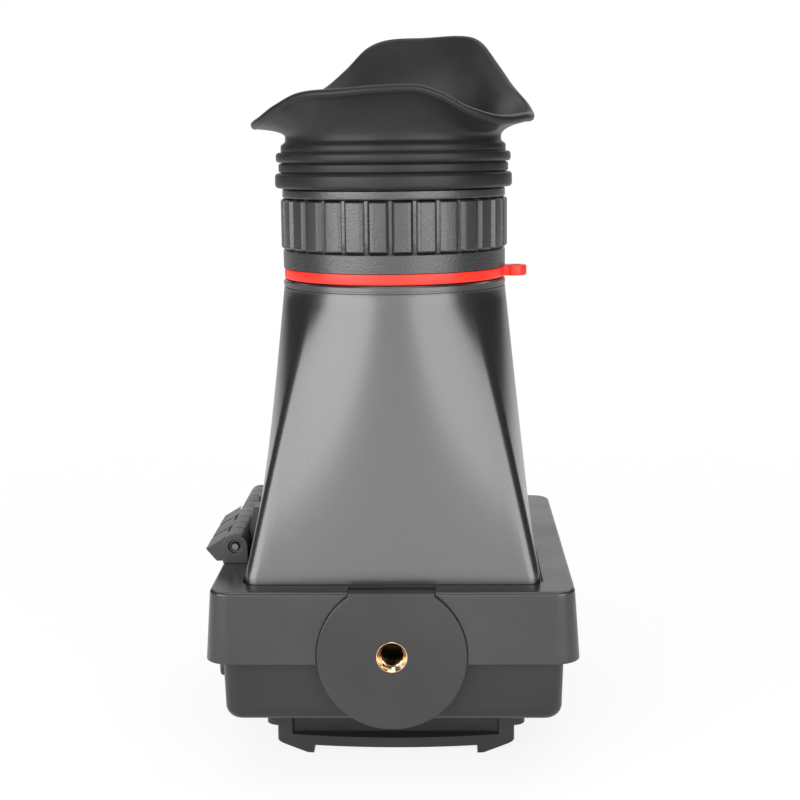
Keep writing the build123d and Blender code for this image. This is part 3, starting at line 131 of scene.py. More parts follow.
# ---- finishes ------------------------------------------------------------------------------
def new_finish(name):
    mat = bpy.data.materials.new(name)
    mat.use_nodes = True
    tree = mat.node_tree
    shader = tree.nodes["Principled BSDF"]
    coords = tree.nodes.new("ShaderNodeTexCoord")
    centre = tree.nodes.new("ShaderNodeMapping")
    centre.inputs["Location"].default_value = (0, -AXIS_Y * MM, 0)
    tree.links.new(coords.outputs["Object"], centre.inputs["Vector"])
    return mat, tree, shader, centre.outputs["Vector"]


def noise(tree, vector, scale, detail=3.0, rough=0.5):
    node = tree.nodes.new("ShaderNodeTexNoise")
    node.inputs["Scale"].default_value = scale
    node.inputs["Detail"].default_value = detail
    node.inputs["Roughness"].default_value = rough
    tree.links.new(vector, node.inputs["Vector"])
    return node.outputs["Fac"]


def spread(tree, value, low, high):
    """A noise value stretched to run between two numbers."""
    node = tree.nodes.new("ShaderNodeMapRange")
    node.inputs["From Min"].default_value = 0.3
    node.inputs["From Max"].default_value = 0.7
    node.inputs["To Min"].default_value = low
    node.inputs["To Max"].default_value = high
    tree.links.new(value, node.inputs["Value"])
    return node.outputs["Result"]


def tint(tree, value, dark, light):
    node = tree.nodes.new("ShaderNodeValToRGB")
    node.color_ramp.elements[0].position = 0.32
    node.color_ramp.elements[0].color = (*dark, 1)
    node.color_ramp.elements[1].position = 0.68
    node.color_ramp.elements[1].color = (*light, 1)
    tree.links.new(value, node.inputs["Fac"])
    return node.outputs["Color"]


def raised(tree, height, strength, distance, under=None):
    node = tree.nodes.new("ShaderNodeBump")
    node.inputs["Strength"].default_value = strength
    node.inputs["Distance"].default_value = distance * MM
    tree.links.new(height, node.inputs["Height"])
    if under is not None:
        tree.links.new(under, node.inputs["Normal"])
    return node.outputs["Normal"]


def shade(colour, share):
    return tuple(c * share for c in colour)


# Colours are linear RGB, and roughness runs from 0 to 1.
def grained(name, colour, rough, grain_mm, depth_mm, vary=0.10, rough_vary=0.05, metal=0.0,
            coat=0.0, level=0.5, strength=0.6):
    """Moulded, blasted or coated surface: an even grain, with a slow drift in tone and gloss."""
    mat, tree, shader, vector = new_finish(name)
    slow = noise(tree, vector, 55.0, 4.0)
    fine = noise(tree, vector, 0.6 / (grain_mm * MM), 2.0, 0.6)
    colour_out = tint(tree, slow, shade(colour, 1 - vary), shade(colour, 1 + vary))
    tree.links.new(colour_out, shader.inputs["Base Color"])
    tree.links.new(spread(tree, slow, rough - rough_vary, rough + rough_vary),
                   shader.inputs["Roughness"])
    tree.links.new(raised(tree, fine, strength, depth_mm), shader.inputs["Normal"])
    shader.inputs["Metallic"].default_value = metal
    shader.inputs["Coat Weight"].default_value = coat
    shader.inputs["Coat Roughness"].default_value = rough
    shader.inputs["Specular IOR Level"].default_value = level
    return mat


def brushed(name, colour, rough, axis, grain=900.0):
    """Turned or drawn metal with fine lines across the given axis."""
    mat, tree, shader, vector = new_finish(name)
    stretch = tree.nodes.new("ShaderNodeMapping")
    stretch.inputs["Scale"].default_value = [4.0 if i == axis else 0.12 for i in range(3)]
    tree.links.new(vector, stretch.inputs["Vector"])
    lines = noise(tree, stretch.outputs["Vector"], grain, 4.0, 0.6)
    slow = noise(tree, vector, 120.0, 3.0)
    tree.links.new(tint(tree, slow, shade(colour, 0.88), shade(colour, 1.06)),
                   shader.inputs["Base Color"])
    tree.links.new(spread(tree, lines, rough - 0.06, rough + 0.1), shader.inputs["Roughness"])
    tree.links.new(raised(tree, lines, 0.35, 0.02), shader.inputs["Normal"])
    shader.inputs["Metallic"].default_value = 1.0
    return mat


def bush_finish():
    """Turned brass, bright at the mouth, with painted shade turning it near black down the thread,
    where the bore lies in shadow.
    """
    mat, tree, shader, vector = new_finish("turned_brass")
    slow = noise(tree, vector, 260.0, 4.0)
    parts = tree.nodes.new("ShaderNodeSeparateXYZ")
    tree.links.new(vector, parts.inputs[0])
    # painted shade: from 0.9 to 2.4 mm along the bore the brass colour fades to near black,
    # standing in for the shadow down the bore
    painted_bore_shade = tree.nodes.new("ShaderNodeMapRange")
    painted_bore_shade.inputs["From Min"].default_value = (0.9 - AXIS_Y) * MM
    painted_bore_shade.inputs["From Max"].default_value = (2.4 - AXIS_Y) * MM
    tree.links.new(parts.outputs["Y"], painted_bore_shade.inputs["Value"])
    mix = tree.nodes.new("ShaderNodeMix")
    mix.data_type = "RGBA"
    tree.links.new(painted_bore_shade.outputs["Result"], mix.inputs["Factor"])
    tree.links.new(tint(tree, slow, (0.86, 0.60, 0.36), (0.98, 0.76, 0.52)), mix.inputs["A"])
    # near-black colour of the painted shade in the depth of the bore
    mix.inputs["B"].default_value = (0.035, 0.022, 0.012, 1)
    tree.links.new(mix.outputs["Result"], shader.inputs["Base Color"])
    tree.links.new(spread(tree, slow, 0.14, 0.24), shader.inputs["Roughness"])
    lines = noise(tree, vector, 3000.0, 2.0)
    tree.links.new(raised(tree, lines, 0.2, 0.01), shader.inputs["Normal"])
    shader.inputs["Metallic"].default_value = 1.0
    return mat


def clear_glass(name, colour, rough, coat_tint):
    mat, tree, shader, vector = new_finish(name)
    haze = noise(tree, vector, 90.0, 3.0)
    tree.links.new(spread(tree, haze, rough, rough + 0.02), shader.inputs["Roughness"])
    tree.links.new(tint(tree, haze, shade(colour, 0.97), colour), shader.inputs["Base Color"])
    shader.inputs["Transmission Weight"].default_value = 0.92
    shader.inputs["IOR"].default_value = 1.5
    shader.inputs["Coat Weight"].default_value = 0.6
    shader.inputs["Coat Roughness"].default_value = 0.02
    shader.inputs["Coat Tint"].default_value = (*coat_tint, 1)
    return mat


def display_finish():
    """Switched-off display: near black, with its fine grid of picture cells."""
    mat, tree, shader, vector = new_finish("display_off")
    cells = []
    for direction in ("X", "Y"):
        wave = tree.nodes.new("ShaderNodeTexWave")
        wave.bands_direction = direction
        wave.inputs["Scale"].default_value = 900.0
        tree.links.new(vector, wave.inputs["Vector"])
        cells.append(wave.outputs["Fac"])
    both = tree.nodes.new("ShaderNodeMath")
    both.operation = "MULTIPLY"
    tree.links.new(cells[0], both.inputs[0])
    tree.links.new(cells[1], both.inputs[1])
    tree.links.new(tint(tree, both.outputs[0], (0.006, 0.006, 0.008), (0.022, 0.023, 0.03)),
                   shader.inputs["Base Color"])
    slow = noise(tree, vector, 70.0)
    tree.links.new(spread(tree, slow, 0.12, 0.18), shader.inputs["Roughness"])
    return mat


def board_finish():
    """Green solder mask over a pattern of tracks, with small bright pads."""
    mat, tree, shader, vector = new_finish("board_mask")
    tracks = tree.nodes.new("ShaderNodeTexBrick")
    tracks.inputs["Scale"].default_value = 160.0
    tracks.inputs["Mortar Size"].default_value = 0.06
    tracks.inputs["Color1"].default_value = (0.012, 0.12, 0.05, 1)
    tracks.inputs["Color2"].default_value = (0.014, 0.14, 0.06, 1)
    tracks.inputs["Mortar"].default_value = (0.03, 0.24, 0.10, 1)
    tree.links.new(vector, tracks.inputs["Vector"])
    tree.links.new(tracks.outputs["Color"], shader.inputs["Base Color"])
    slow = noise(tree, vector, 200.0)
    tree.links.new(spread(tree, slow, 0.28, 0.4), shader.inputs["Roughness"])
    tree.links.new(raised(tree, tracks.outputs["Fac"], 0.4, 0.03), shader.inputs["Normal"])
    return mat


def rubber_finish():
    """Soft black rubber: matt, faintly dusty, with a very fine moulded skin."""
    mat, tree, shader, vector = new_finish("eyecup_skin")
    dust = noise(tree, vector, 38.0, 6.0, 0.65)
    skin = noise(tree, vector, 3200.0, 2.0)
    orange_peel = noise(tree, vector, 420.0, 2.0)
    tree.links.new(tint(tree, dust, (0.0080, 0.0080, 0.0084), (0.0135, 0.0135, 0.0140)),
                   shader.inputs["Base Color"])
    tree.links.new(spread(tree, dust, 0.36, 0.46), shader.inputs["Roughness"])
    peel = raised(tree, orange_peel, 0.12, 0.05)
    tree.links.new(raised(tree, skin, 0.3, 0.02, peel), shader.inputs["Normal"])
    shader.inputs["Sheen Weight"].default_value = 0.03
    shader.inputs["Sheen Roughness"].default_value = 0.5
    shader.inputs["Specular IOR Level"].default_value = 0.28
    return mat


finishes = {
    "frame_plastic": grained("frame_moulding", (0.021, 0.021, 0.0217), 0.27, 0.45, 0.012,
                             level=0.6),
    "case_plastic": grained("case_moulding", (0.016, 0.016, 0.0166), 0.40, 0.45, 0.014,
                            level=0.4),
    "hood_plastic": grained("hood_moulding", (0.0125, 0.0125, 0.0130), 0.27, 1.60, 0.003,
                            vary=0.03, rough_vary=0.01, level=0.95, coat=0.35,
                            strength=0.2),
    "disc_metal": grained("disc_anodising", (0.025, 0.025, 0.0265), 0.40, 0.35, 0.012,
                          level=0.42),
    "ring_plastic": grained("grip_blasted", (0.0125, 0.0125, 0.0130), 0.29, 0.30, 0.085,
                            level=0.75, coat=0.15, strength=1.0),
    "hinge_metal": grained("hinge_powder_coat", (0.016, 0.016, 0.0165), 0.34, 0.40, 0.04,
                           level=0.7),
    "red_plastic": grained("lanyard_red", (0.82, 0.022, 0.009), 0.36, 0.5, 0.012, vary=0.05,
                           level=0.4),
    "eyecup_rubber": rubber_finish(),
    "brass": bush_finish(),
    "steel": brushed("plated_steel", (0.56, 0.56, 0.57), 0.30, 2),
    "black_steel": grained("blackened_screw", (0.03, 0.03, 0.031), 0.38, 0.25, 0.02, metal=0.6),
    "magnet": brushed("nickel_magnet", (0.62, 0.61, 0.58), 0.18, 2),
    "lens_glass": clear_glass("coated_lens", (0.93, 0.97, 0.98), 0.01, (0.72, 0.80, 1.0)),
    "window_glass": clear_glass("window_glass", (0.80, 0.82, 0.84), 0.015, (0.85, 0.9, 1.0)),
    "screen": display_finish(),
    "backlight_white": grained("backlight_sheet", (0.78, 0.78, 0.77), 0.5, 0.6, 0.02),
    "board_green": board_finish(),
    "chip_black": grained("chip_moulding", (0.024, 0.024, 0.025), 0.55, 0.18, 0.03),
    "polyimide": grained("ribbon_film", (0.58, 0.30, 0.06), 0.32, 0.8, 0.02, vary=0.14),
    "gold_contact": brushed("gold_contact", (0.86, 0.62, 0.24), 0.26, 1),
    "button_rubber": grained("button_soft", (0.030, 0.030, 0.031), 0.52, 0.25, 0.03),
    "foam": grained("seal_foam", (0.014, 0.014, 0.014), 0.85, 0.45, 0.16, strength=0.9),
}
pin_end = brushed("darkened_pin", (0.20, 0.20, 0.21), 0.30, 2)
for name, obj in nodes.items():
    if not obj.material_slots:
        obj.data.materials.append(finishes[slot_of[name]])
    for holder in obj.material_slots:
        holder.material = pin_end if name == "hinge_pin" else finishes[slot_of[name]]


def fit_for(piece, *stands_for):
    """Finish and body of a new piece come from the node that it stands for, the finish by that
    node's material slot; the node is hidden.
    """
    first = stands_for[0]
    piece.data.materials.clear()
    piece.data.materials.append(finishes[slot_of[first]])
    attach(piece, body_of[first])
    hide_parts(*stands_for)
    return piece


# ---- eyecup --------------------------------------------------------------------------------
# radii and heights above the feet, mm
EYECUP_FOOT_Z = 131.7
SPIGOT_TOP_Z = 138.2
SPIGOT_SEAT_RADIUS = 25.6
CUP_BORE = 24.4
CUP_THROAT_Z = 143.2
NECK_FOOT_RADIUS = 25.9
FLARE_Z = 143.9
FLARE_INSIDE_RADIUS = 24.6
LIP_WALL = 1.9
# angle round the axis from +X, radius, height above the feet
LIP = (
    (0, 33.1, 148.4), (14, 33.1, 151.3), (27, 33.1, 155.2), (38, 32.9, 161.1),
    (48, 32.8, 166.7), (58, 32.7, 168.3), (76, 32.5, 168.2), (94, 32.3, 167.8),
    (104, 32.3, 165.6), (114, 32.4, 160.2), (126, 32.6, 155.0), (144, 32.8, 151.4),
    (162, 33.1, 148.6), (180, 33.2, 146.7), (200, 32.8, 147.4), (216, 32.3, 150.2),
    (230, 31.8, 152.7), (250, 31.2, 153.4), (268, 30.9, 154.1), (282, 30.9, 154.1),
    (292, 31.1, 152.4), (304, 31.4, 149.2), (320, 32.1, 147.2), (340, 32.9, 147.7),
)


def lip_at(angle):
    """Radius and height of the eyecup's lip at one angle, smooth through the points of LIP."""
    angle %= 360
    count = len(LIP)
    after = next((i for i in range(count) if LIP[i][0] > angle), count)
    near = []
    for i in range(after - 2, after + 2):
        turn, index = divmod(i, count)
        near.append((LIP[index][0] + 360 * turn, LIP[index][1], LIP[index][2]))
    (a0, *p0), (a1, *p1), (a2, *p2), (a3, *p3) = near
    t = (angle - a1) / (a2 - a1)
    result = []
    for v0, v1, v2, v3 in zip(p0, p1, p2, p3):
        lean_1 = (v2 - v0) / (a2 - a0) * (a2 - a1)
        lean_2 = (v3 - v1) / (a3 - a1) * (a2 - a1)
        value = (2 * t**3 - 3 * t**2 + 1) * v1 + (t**3 - 2 * t**2 + t) * lean_1
        result.append(value + (3 * t**2 - 2 * t**3) * v2 + (t**3 - t**2) * lean_2)
    return result


def curve(p0, p1, p2, t):
    return tuple((1 - t)**2 * a + 2 * (1 - t) * t * b + t**2 * c for a, b, c in zip(p0, p1, p2))


def rounded_rib(radius, low, high, root, ease=0.7, steps=5):
    """Outline of one rib, from its lower root to its upper root."""
    points = [(root, low)]
    for i in range(steps + 1):
        a = math.pi / 2 * i / steps
        points.append((radius - ease + ease * math.sin(a), low + ease - ease * math.cos(a)))
    for i in range(steps + 1):
        a = math.pi / 2 * i / steps
        points.append((radius - ease + ease * math.cos(a), high - ease + ease * math.sin(a)))
    return points + [(root, high)]


FOOT = [(SPIGOT_SEAT_RADIUS, EYECUP_FOOT_Z)]
FOOT += rounded_rib(28.5, EYECUP_FOOT_Z, 135.2, 27.1, 0.8)
FOOT += rounded_rib(27.6, 135.4, 137.5, 27.0, 0.45)
FOOT += rounded_rib(28.2, 137.7, 140.1, 26.9, 0.8)
FOOT += [(27.0, 140.3), (27.0, 141.6), (26.7, 142.0), (26.1, 142.4),
         (NECK_FOOT_RADIUS, 142.8), (NECK_FOOT_RADIUS, 143.4)]
OUTSIDE_STEPS, BEAD_STEPS, INSIDE_STEPS = 18, 8, 18
BEAD = 1.12             # the lip's bead is a little thicker than the wall
CUP_SEGMENTS = 288


def flare_outline(degrees):
    """Outline of the thin wall at one angle: up the outside, round the lip, down the inside."""
    lip_r, lip_z = lip_at(degrees)
    start_r, low = NECK_FOOT_RADIUS, FLARE_Z
    pull = (start_r + 0.12 * (lip_r - start_r), low + 0.5 * (lip_z - low))
    lean = math.atan2(lip_z - pull[1], lip_r - pull[0])
    inward = (-math.sin(lean) * LIP_WALL, math.cos(lean) * LIP_WALL)
    along = (math.cos(lean), math.sin(lean))
    tip_out = (lip_r, lip_z - 0.5 * LIP_WALL)
    tip_in = (tip_out[0] + inward[0], tip_out[1] + inward[1])
    pull_in = (pull[0] + inward[0], pull[1] + inward[1])
    middle = ((tip_out[0] + tip_in[0]) / 2, (tip_out[1] + tip_in[1]) / 2)
    points = [curve((start_r, low), pull, tip_out, i / OUTSIDE_STEPS)
              for i in range(OUTSIDE_STEPS)]
    half = LIP_WALL / 2 * BEAD
    for i in range(BEAD_STEPS + 1):
        a = -math.pi * 0.58 + math.pi * 1.16 * i / BEAD_STEPS
        side = (inward[0] / LIP_WALL * math.sin(a), inward[1] / LIP_WALL * math.sin(a))
        points.append((middle[0] + half * (along[0] * math.cos(a) + side[0]),
                       middle[1] + half * (along[1] * math.cos(a) + side[1])))
    points += [curve(tip_in, pull_in, (FLARE_INSIDE_RADIUS, low), i / INSIDE_STEPS)
               for i in range(1, INSIDE_STEPS + 1)]
    return points


def build_eyecup():
    inner = [(CUP_BORE, CUP_THROAT_Z), (CUP_BORE, SPIGOT_TOP_Z + 0.5),
             (SPIGOT_SEAT_RADIUS, SPIGOT_TOP_Z + 0.3)]
    outlines = [FOOT + flare_outline(360 * step / CUP_SEGMENTS) + inner + FOOT[:1]
                for step in range(CUP_SEGMENTS)]

    def where(ring, step):
        r, z = outlines[step][ring]
        turn = math.tau * step / CUP_SEGMENTS
        return place(r * math.cos(turn), r * math.sin(turn), z)

    cup = ring_stack("eyecup_rubber", len(outlines[0]), CUP_SEGMENTS, where, 50)
    return fit_for(cup, "eyecup")


# ---- focus ring ----------------------------------------------------------------------------
PADS = 30
STEPS_PER_PAD = 16
RING_LOW, RING_HIGH = 117.4, 129.2
ROOT_RADIUS, GROOVE_RADIUS, LEDGE_RADIUS, PAD_RADIUS = 26.4, 26.5, 26.95, 27.3
RING_BORE, RING_RELIEF, RING_BEARING = 22.95, 24.6, 2.3     # the last is a length


def pad_height(step):
    """How far the grip stands at one step round the ring: groove, ledge, then the pad."""
    across = abs(step % STEPS_PER_PAD - STEPS_PER_PAD / 2) / (STEPS_PER_PAD / 2)
    if across > 0.86:
        return GROOVE_RADIUS
    if across > 0.74:
        return LEDGE_RADIUS
    return PAD_RADIUS - (0.06 if across > 0.6 else 0.0)


def build_focus_ring():
    segments = PADS * STEPS_PER_PAD
    cut = [("root", RING_LOW), ("low", RING_LOW + 0.12), ("pad", RING_LOW + 0.45),
           ("pad", RING_LOW + 3.0), ("pad", RING_HIGH - 3.0), ("pad", RING_HIGH - 0.45),
           ("low", RING_HIGH - 0.12), ("root", RING_HIGH)]
    bore = [(RING_BORE, RING_HIGH), (RING_BORE, RING_HIGH - RING_BEARING),
            (RING_RELIEF, RING_HIGH - RING_BEARING), (RING_RELIEF, RING_LOW + RING_BEARING),
            (RING_BORE, RING_LOW + RING_BEARING), (RING_BORE, RING_LOW)]
    rings = len(cut) + len(bore) + 1

    def where(ring, step):
        ring %= rings - 1
        turn = math.tau * (step + STEPS_PER_PAD / 2) / segments
        if ring < len(cut):
            kind, z = cut[ring]
            r = pad_height(step)
            if kind == "root":
                r = ROOT_RADIUS
            if kind == "low":
                r = max(ROOT_RADIUS, r - 0.32)
        else:
            r, z = bore[ring - len(cut)]
        return place(r * math.cos(turn), r * math.sin(turn), z)

    grip = ring_stack("focus_grip", rings, segments, where, 24)
    return fit_for(grip, "focus_ring")


# ---- loupe hood ----------------------------------------------------------------------------
RIM_Z, SKIRT_Z, NECK_Z, HOOD_TOP_Z = 43.6, 45.8, 107.4, 110.0
RIM_HALF = (33.4, 40.85)
NECK_RADIUS = 26.9
HOOD_WALL = 2.2
RIM_CORNER, LEAST_CORNER = 3.0, 0.8
RIM_EASE = 0.25
OUTSIDE_LEVELS, INSIDE_LEVELS = 28, 14
CORNER_STEPS, SIDE_STEPS = 10, 30
CORNER_SHARE = math.radians(3.2)        # half of the circle's arc that a corner runs out into
HOOD_SEGMENTS = 4 * (CORNER_STEPS + SIDE_STEPS)


def hood_section(share, inset):
    """The hood's outline at one height: straight rulings from the rectangle to the circle."""
    half_x, half_y = RIM_HALF[0] - inset, RIM_HALF[1] - inset
    corner = max(LEAST_CORNER, RIM_CORNER - inset)
    round_r = NECK_RADIUS - inset
    square, circle = [], []
    for quarter, (sx, sy) in enumerate(((1, 1), (-1, 1), (-1, -1), (1, -1))):
        start = math.pi / 2 * quarter
        cx, cy = sx * (half_x - corner), sy * (half_y - corner)
        for i in range(CORNER_STEPS):
            t = i / (CORNER_STEPS - 1)
            a = start + math.pi / 2 * t
            square.append((cx + corner * math.cos(a), cy + corner * math.sin(a)))
            circle.append(start + math.pi / 4 + CORNER_SHARE * (2 * t - 1))
        nx, ny = ((-1, 1), (-1, -1), (1, -1), (1, 1))[quarter]
        a = start + math.pi / 2
        end = (nx * (half_x - corner) + corner * math.cos(a),
               ny * (half_y - corner) + corner * math.sin(a))
        last = square[-1]
        for i in range(1, SIDE_STEPS + 1):
            t = i / (SIDE_STEPS + 1)
            square.append((last[0] + (end[0] - last[0]) * t, last[1] + (end[1] - last[1]) * t))
            circle.append(start + math.pi / 4 + CORNER_SHARE
                          + (math.pi / 2 - 2 * CORNER_SHARE) * t)
    return [(x + (round_r * math.cos(a) - x) * share, y + (round_r * math.sin(a) - y) * share)
            for (x, y), a in zip(square, circle)]


def build_hood():
    # height, share of the way from rectangle to circle, inset
    levels = [(RIM_Z, 0.0, RIM_EASE), (RIM_Z + RIM_EASE, 0.0, 0.0), (SKIRT_Z, 0.0, 0.0)]
    levels += [(SKIRT_Z + (NECK_Z - SKIRT_Z) * i / OUTSIDE_LEVELS, i / OUTSIDE_LEVELS, 0.0)
               for i in range(1, OUTSIDE_LEVELS + 1)]
    levels += [(NECK_Z + 0.7, 1.0, 0.0), (NECK_Z + 0.8, 1.0, 0.4), (NECK_Z + 1.2, 1.0, 0.4),
               (NECK_Z + 1.3, 1.0, 0.0), (HOOD_TOP_Z - 0.4, 1.0, 0.0), (HOOD_TOP_Z, 1.0, 0.4),
               (HOOD_TOP_Z, 1.0, HOOD_WALL), (NECK_Z, 1.0, HOOD_WALL)]
    levels += [(SKIRT_Z + (NECK_Z - SKIRT_Z) * i / INSIDE_LEVELS, i / INSIDE_LEVELS, HOOD_WALL)
               for i in range(INSIDE_LEVELS - 1, -1, -1)]
    levels += [(RIM_Z, 0.0, HOOD_WALL), (RIM_Z, 0.0, RIM_EASE)]
    outlines = [(z, hood_section(share, inset)) for z, share, inset in levels]

    def where(ring, step):
        z, outline = outlines[ring]
        x, y = outline[step]
        return place(x, y, z)

    hood = ring_stack("hood_shell", len(levels), HOOD_SEGMENTS, where, 30)
    return fit_for(hood, "loupe_housing")


# ---- threaded bush -------------------------------------------------------------------------
MINOR, THREAD_DEEP, PITCH = 2.55, 0.6, 1.27
BUSH_FACE_Y = -0.85
BUSH_SEGMENTS = 96
THREAD_RINGS = 84
THREAD_START, THREAD_END, BUSH_DEPTH = 0.85, 8.0, 9.0
MOUTH_RADIUS, BUSH_RADIUS = 3.45, 4.5


def thread_radius(depth, turn):
    """Bore of the bush at one depth and bearing: crests, flanks and run-outs of the thread."""
    phase = (depth / PITCH + turn / math.tau) % 1.0
    ramp = min(1.0, max(0.0, (abs(2 * phase - 1) - 0.16) / 0.62))
    fade = min(1.0, max(0.0, (depth - 0.75) / 0.5)) * min(1.0, max(0.0, (THREAD_END - depth) / 0.6))
    return MINOR + THREAD_DEEP * ramp * fade


def build_thread_bush():
    outline = [(MOUTH_RADIUS, 0.0), (MOUTH_RADIUS - 0.1, 0.0)]
    outline += [("thread", THREAD_START + (THREAD_END - THREAD_START) * i / THREAD_RINGS)
                for i in range(THREAD_RINGS + 1)]
    outline += [(0.0, THREAD_END), (0.0, BUSH_DEPTH), (BUSH_RADIUS, BUSH_DEPTH),
                (BUSH_RADIUS, 1.2), (3.6, 1.2), (3.6, 0.15), (MOUTH_RADIUS, 0.0)]

    def where(ring, step):
        r, depth = outline[ring]
        turn = math.tau * step / BUSH_SEGMENTS
        if r == "thread":
            r = thread_radius(depth, turn)
        return Vector((r * math.cos(turn), BUSH_FACE_Y + depth, r * math.sin(turn))) * MM

    bush = ring_stack("threaded_bush", len(outline), BUSH_SEGMENTS, where, 40)
    return fit_for(bush, "thread_insert")


build_eyecup()
build_focus_ring()
build_hood()
build_thread_bush()

# ---- eased pieces --------------------------------------------------------------------------
POCKET_HALF_WIDTH, POCKET_FLOOR_Z = 24.4, 4.3
POCKET_BACK_Y, RECESS_BACK_Y = -19.5, -27.2     # the plate's front pocket shows as a recess


def shallow_recess(co):
    """The wall behind the battery plate's front pocket, brought forward to where it shows."""
    x, y, z = co.x / MM, co.y / MM - AXIS_Y, co.z / MM - FEET_Z
    if abs(x) > POCKET_HALF_WIDTH + 0.05 or z < POCKET_FLOOR_Z - 0.05:
        return co
    if not POCKET_BACK_Y - 3.1 < y < POCKET_BACK_Y + 0.05:
        return co
    return place(x, RECESS_BACK_Y + (y - POCKET_BACK_Y) * 0.3, z)


# width of the easing on each piece's sharp edges, mm
EASED = {
    "lanyard_ring": 0.35, "hinge_bracket": 0.18, "hinge_leaf": 0.18, "hinge_end_ears": 0.18,
    "mount_disc": 0.15, "battery_plate": 0.3, "front_case": 0.2, "top_collar": 0.6,
}
for node, width in EASED.items():
    shape = shallow_recess if node == "battery_plate" else None
    fit_for(eased_copy(node, width, reshape=shape), node)

# ---- floor, light and camera ---------------------------------------------------------------
def math_node(tree, operation, first, second=None):
    node = tree.nodes.new("ShaderNodeMath")
    node.operation = operation
    for entry, value in enumerate((first, second)):
        if isinstance(value, (int, float)):
            node.inputs[entry].default_value = value
        elif value is not None:
            tree.links.new(value, node.inputs[entry])
    return node.outputs[0]


def ramp_between(tree, value, low, high, to_low, to_high):
    node = tree.nodes.new("ShaderNodeMapRange")
    node.interpolation_type = "SMOOTHSTEP"
    for entry, number in (("From Min", low), ("From Max", high), ("To Min", to_low),
                          ("To Max", to_high)):
        node.inputs[entry].default_value = number
    tree.links.new(value, node.inputs["Value"])
    return node.outputs["Result"]


def seen_directly(tree, mirrored_share=1.0):
    """1 for what the camera sees, itself or through glass, and a share of it where mirrored."""
    rays = tree.nodes.new("ShaderNodeLightPath")
    mirrored = math_node(tree, "MULTIPLY", rays.outputs["Is Glossy Ray"], mirrored_share)
    seen = math_node(tree, "MAXIMUM", rays.outputs["Is Camera Ray"], mirrored)
    return rays, math_node(tree, "MAXIMUM", seen, rays.outputs["Is Transmission Ray"])


clear_selection()
bpy.ops.mesh.primitive_plane_add(size=8.0, location=(0, 0, FEET_Z * MM))
floor = bpy.context.object
floor.name = "floor"
floor_mat = bpy.data.materials.new("pale_floor")
floor_mat.use_nodes = True
tree = floor_mat.node_tree
tree.nodes.clear()
out = tree.nodes.new("ShaderNodeOutputMaterial")
paper = tree.nodes.new("ShaderNodeBsdfDiffuse")
paper.inputs["Color"].default_value = (0.88, 0.88, 0.88, 1)
glow = tree.nodes.new("ShaderNodeEmission")
coords = tree.nodes.new("ShaderNodeTexCoord")
length = tree.nodes.new("ShaderNodeVectorMath")
length.operation = "LENGTH"
tree.links.new(coords.outputs["Object"], length.inputs[0])
near = ramp_between(tree, length.outputs["Value"], 0.12, 0.5, 0.86, 1.0)
_, direct = seen_directly(tree, 0.4)
blend = tree.nodes.new("ShaderNodeMixShader")
tree.links.new(math_node(tree, "MULTIPLY", near, direct), blend.inputs[0])
tree.links.new(paper.outputs[0], blend.inputs[1])
tree.links.new(glow.outputs[0], blend.inputs[2])
tree.links.new(blend.outputs[0], out.inputs["Surface"])
floor.data.materials.append(floor_mat)

AMBIENT = 0.16          # the room's own light
STUDIO_DARK = 0.05      # what a surface mirrors where there is neither lamp nor backdrop

world = bpy.context.scene.world or bpy.data.worlds.new("studio")
bpy.context.scene.world = world
world.use_nodes = True
tree = world.node_tree
tree.nodes.clear()
out = tree.nodes.new("ShaderNodeOutputWorld")
rays, direct = seen_directly(tree)
coords = tree.nodes.new("ShaderNodeTexCoord")
parts = tree.nodes.new("ShaderNodeSeparateXYZ")
tree.links.new(coords.outputs["Generated"], parts.inputs[0])
backdrop = ramp_between(tree, parts.outputs["Y"], 0.80, 0.97, STUDIO_DARK, 1.0)
mirrored = math_node(tree, "MULTIPLY", backdrop, rays.outputs["Is Glossy Ray"])
clear = math_node(tree, "MAXIMUM", rays.outputs["Is Camera Ray"],
                  rays.outputs["Is Transmission Ray"])
plain = math_node(tree, "MULTIPLY", math_node(tree, "SUBTRACT", 1.0, direct), AMBIENT)
level = math_node(tree, "ADD", math_node(tree, "MAXIMUM", mirrored, clear), plain)
sky = tree.nodes.new("ShaderNodeBackground")
sky.inputs["Color"].default_value = (1, 1, 1, 1)
tree.links.new(level, sky.inputs["Strength"])
tree.links.new(sky.outputs[0], out.inputs["Surface"])


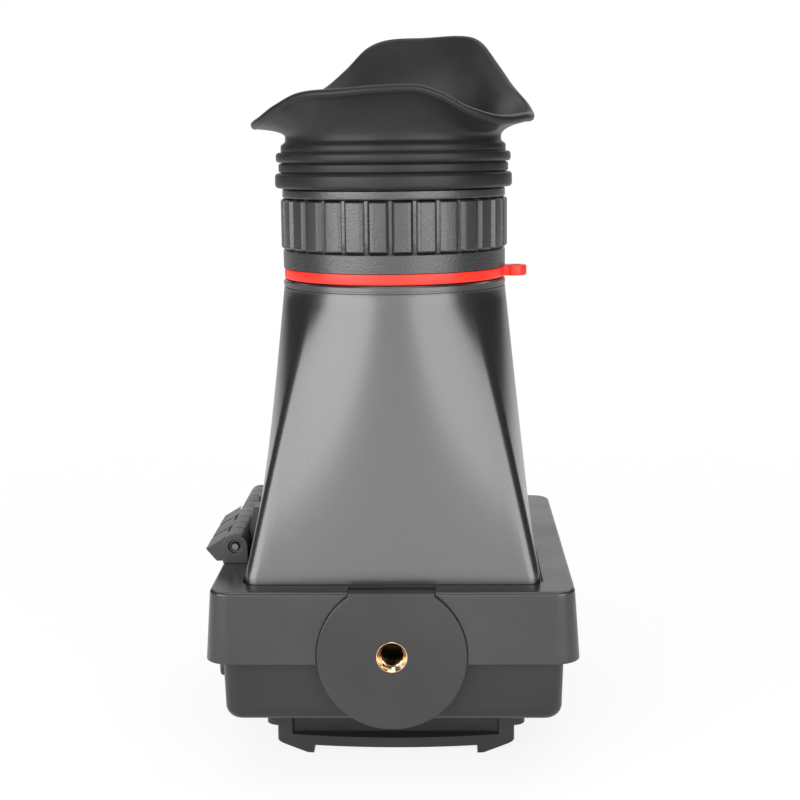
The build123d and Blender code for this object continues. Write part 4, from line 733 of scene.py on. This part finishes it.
def soft_box(name, azimuth, elevation, distance, size, power):
    """A rectangular lamp at a bearing round the part: 0 is in front, 90 on its right."""
    a, e = math.radians(azimuth), math.radians(elevation)
    middle = Vector((0.0, AXIS_Y * MM, 0.06))
    away = Vector((math.sin(a) * math.cos(e), -math.cos(a) * math.cos(e), math.sin(e)))
    data = bpy.data.lights.new(name, "AREA")
    data.shape = "RECTANGLE"
    data.size, data.size_y = size
    data.energy = power
    lamp = bpy.data.objects.new(name, data)
    bpy.context.scene.collection.objects.link(lamp)
    lamp.location = middle + away * distance
    lamp.rotation_euler = (-away).to_track_quat("-Z", "Y").to_euler()
    return lamp


# bearing and elevation in degrees, distance and size in m, power in W
soft_box("front_left", -46, 13, 1.0, (0.95, 0.72), 10.6)
soft_box("front_right", 40, 13, 1.0, (0.78, 0.72), 7.8)
soft_box("front_middle", -1, 9, 1.1, (0.80, 0.85), 4.8)
soft_box("back_left", -145, 50, 1.0, (0.4, 0.6), 1.5)
soft_box("back_right", 145, 50, 1.0, (0.4, 0.6), 2.0)
soft_box("top_box", 0, 86, 1.0, (0.7, 0.7), 4.5)

CAMERA_PLACE = (0.01179, -0.32094, 0.11182)
PITCH_DOWN, TURN, ROLL = 9.583, -1.675, 0.600       # degrees
pitch, turn, roll = (math.radians(v) for v in (PITCH_DOWN, TURN, ROLL))
ahead = Vector((math.sin(turn) * math.cos(pitch), math.cos(turn) * math.cos(pitch),
                -math.sin(pitch)))
right = Vector((math.cos(turn), -math.sin(turn), 0))
down = ahead.cross(right)
right, down = (right * math.cos(roll) + down * math.sin(roll),
               down * math.cos(roll) - right * math.sin(roll))
lens = bpy.data.cameras.new("camera")
lens.lens = 68.085
lens.sensor_width = 36.0
lens.clip_start = 0.01
camera = bpy.data.objects.new("camera", lens)
bpy.context.scene.collection.objects.link(camera)
camera.matrix_world = Matrix((
    (right.x, -down.x, -ahead.x, CAMERA_PLACE[0]),
    (right.y, -down.y, -ahead.y, CAMERA_PLACE[1]),
    (right.z, -down.z, -ahead.z, CAMERA_PLACE[2]),
    (0, 0, 0, 1)))
bpy.context.scene.camera = camera
bpy.context.scene.view_settings.view_transform = "Standard"
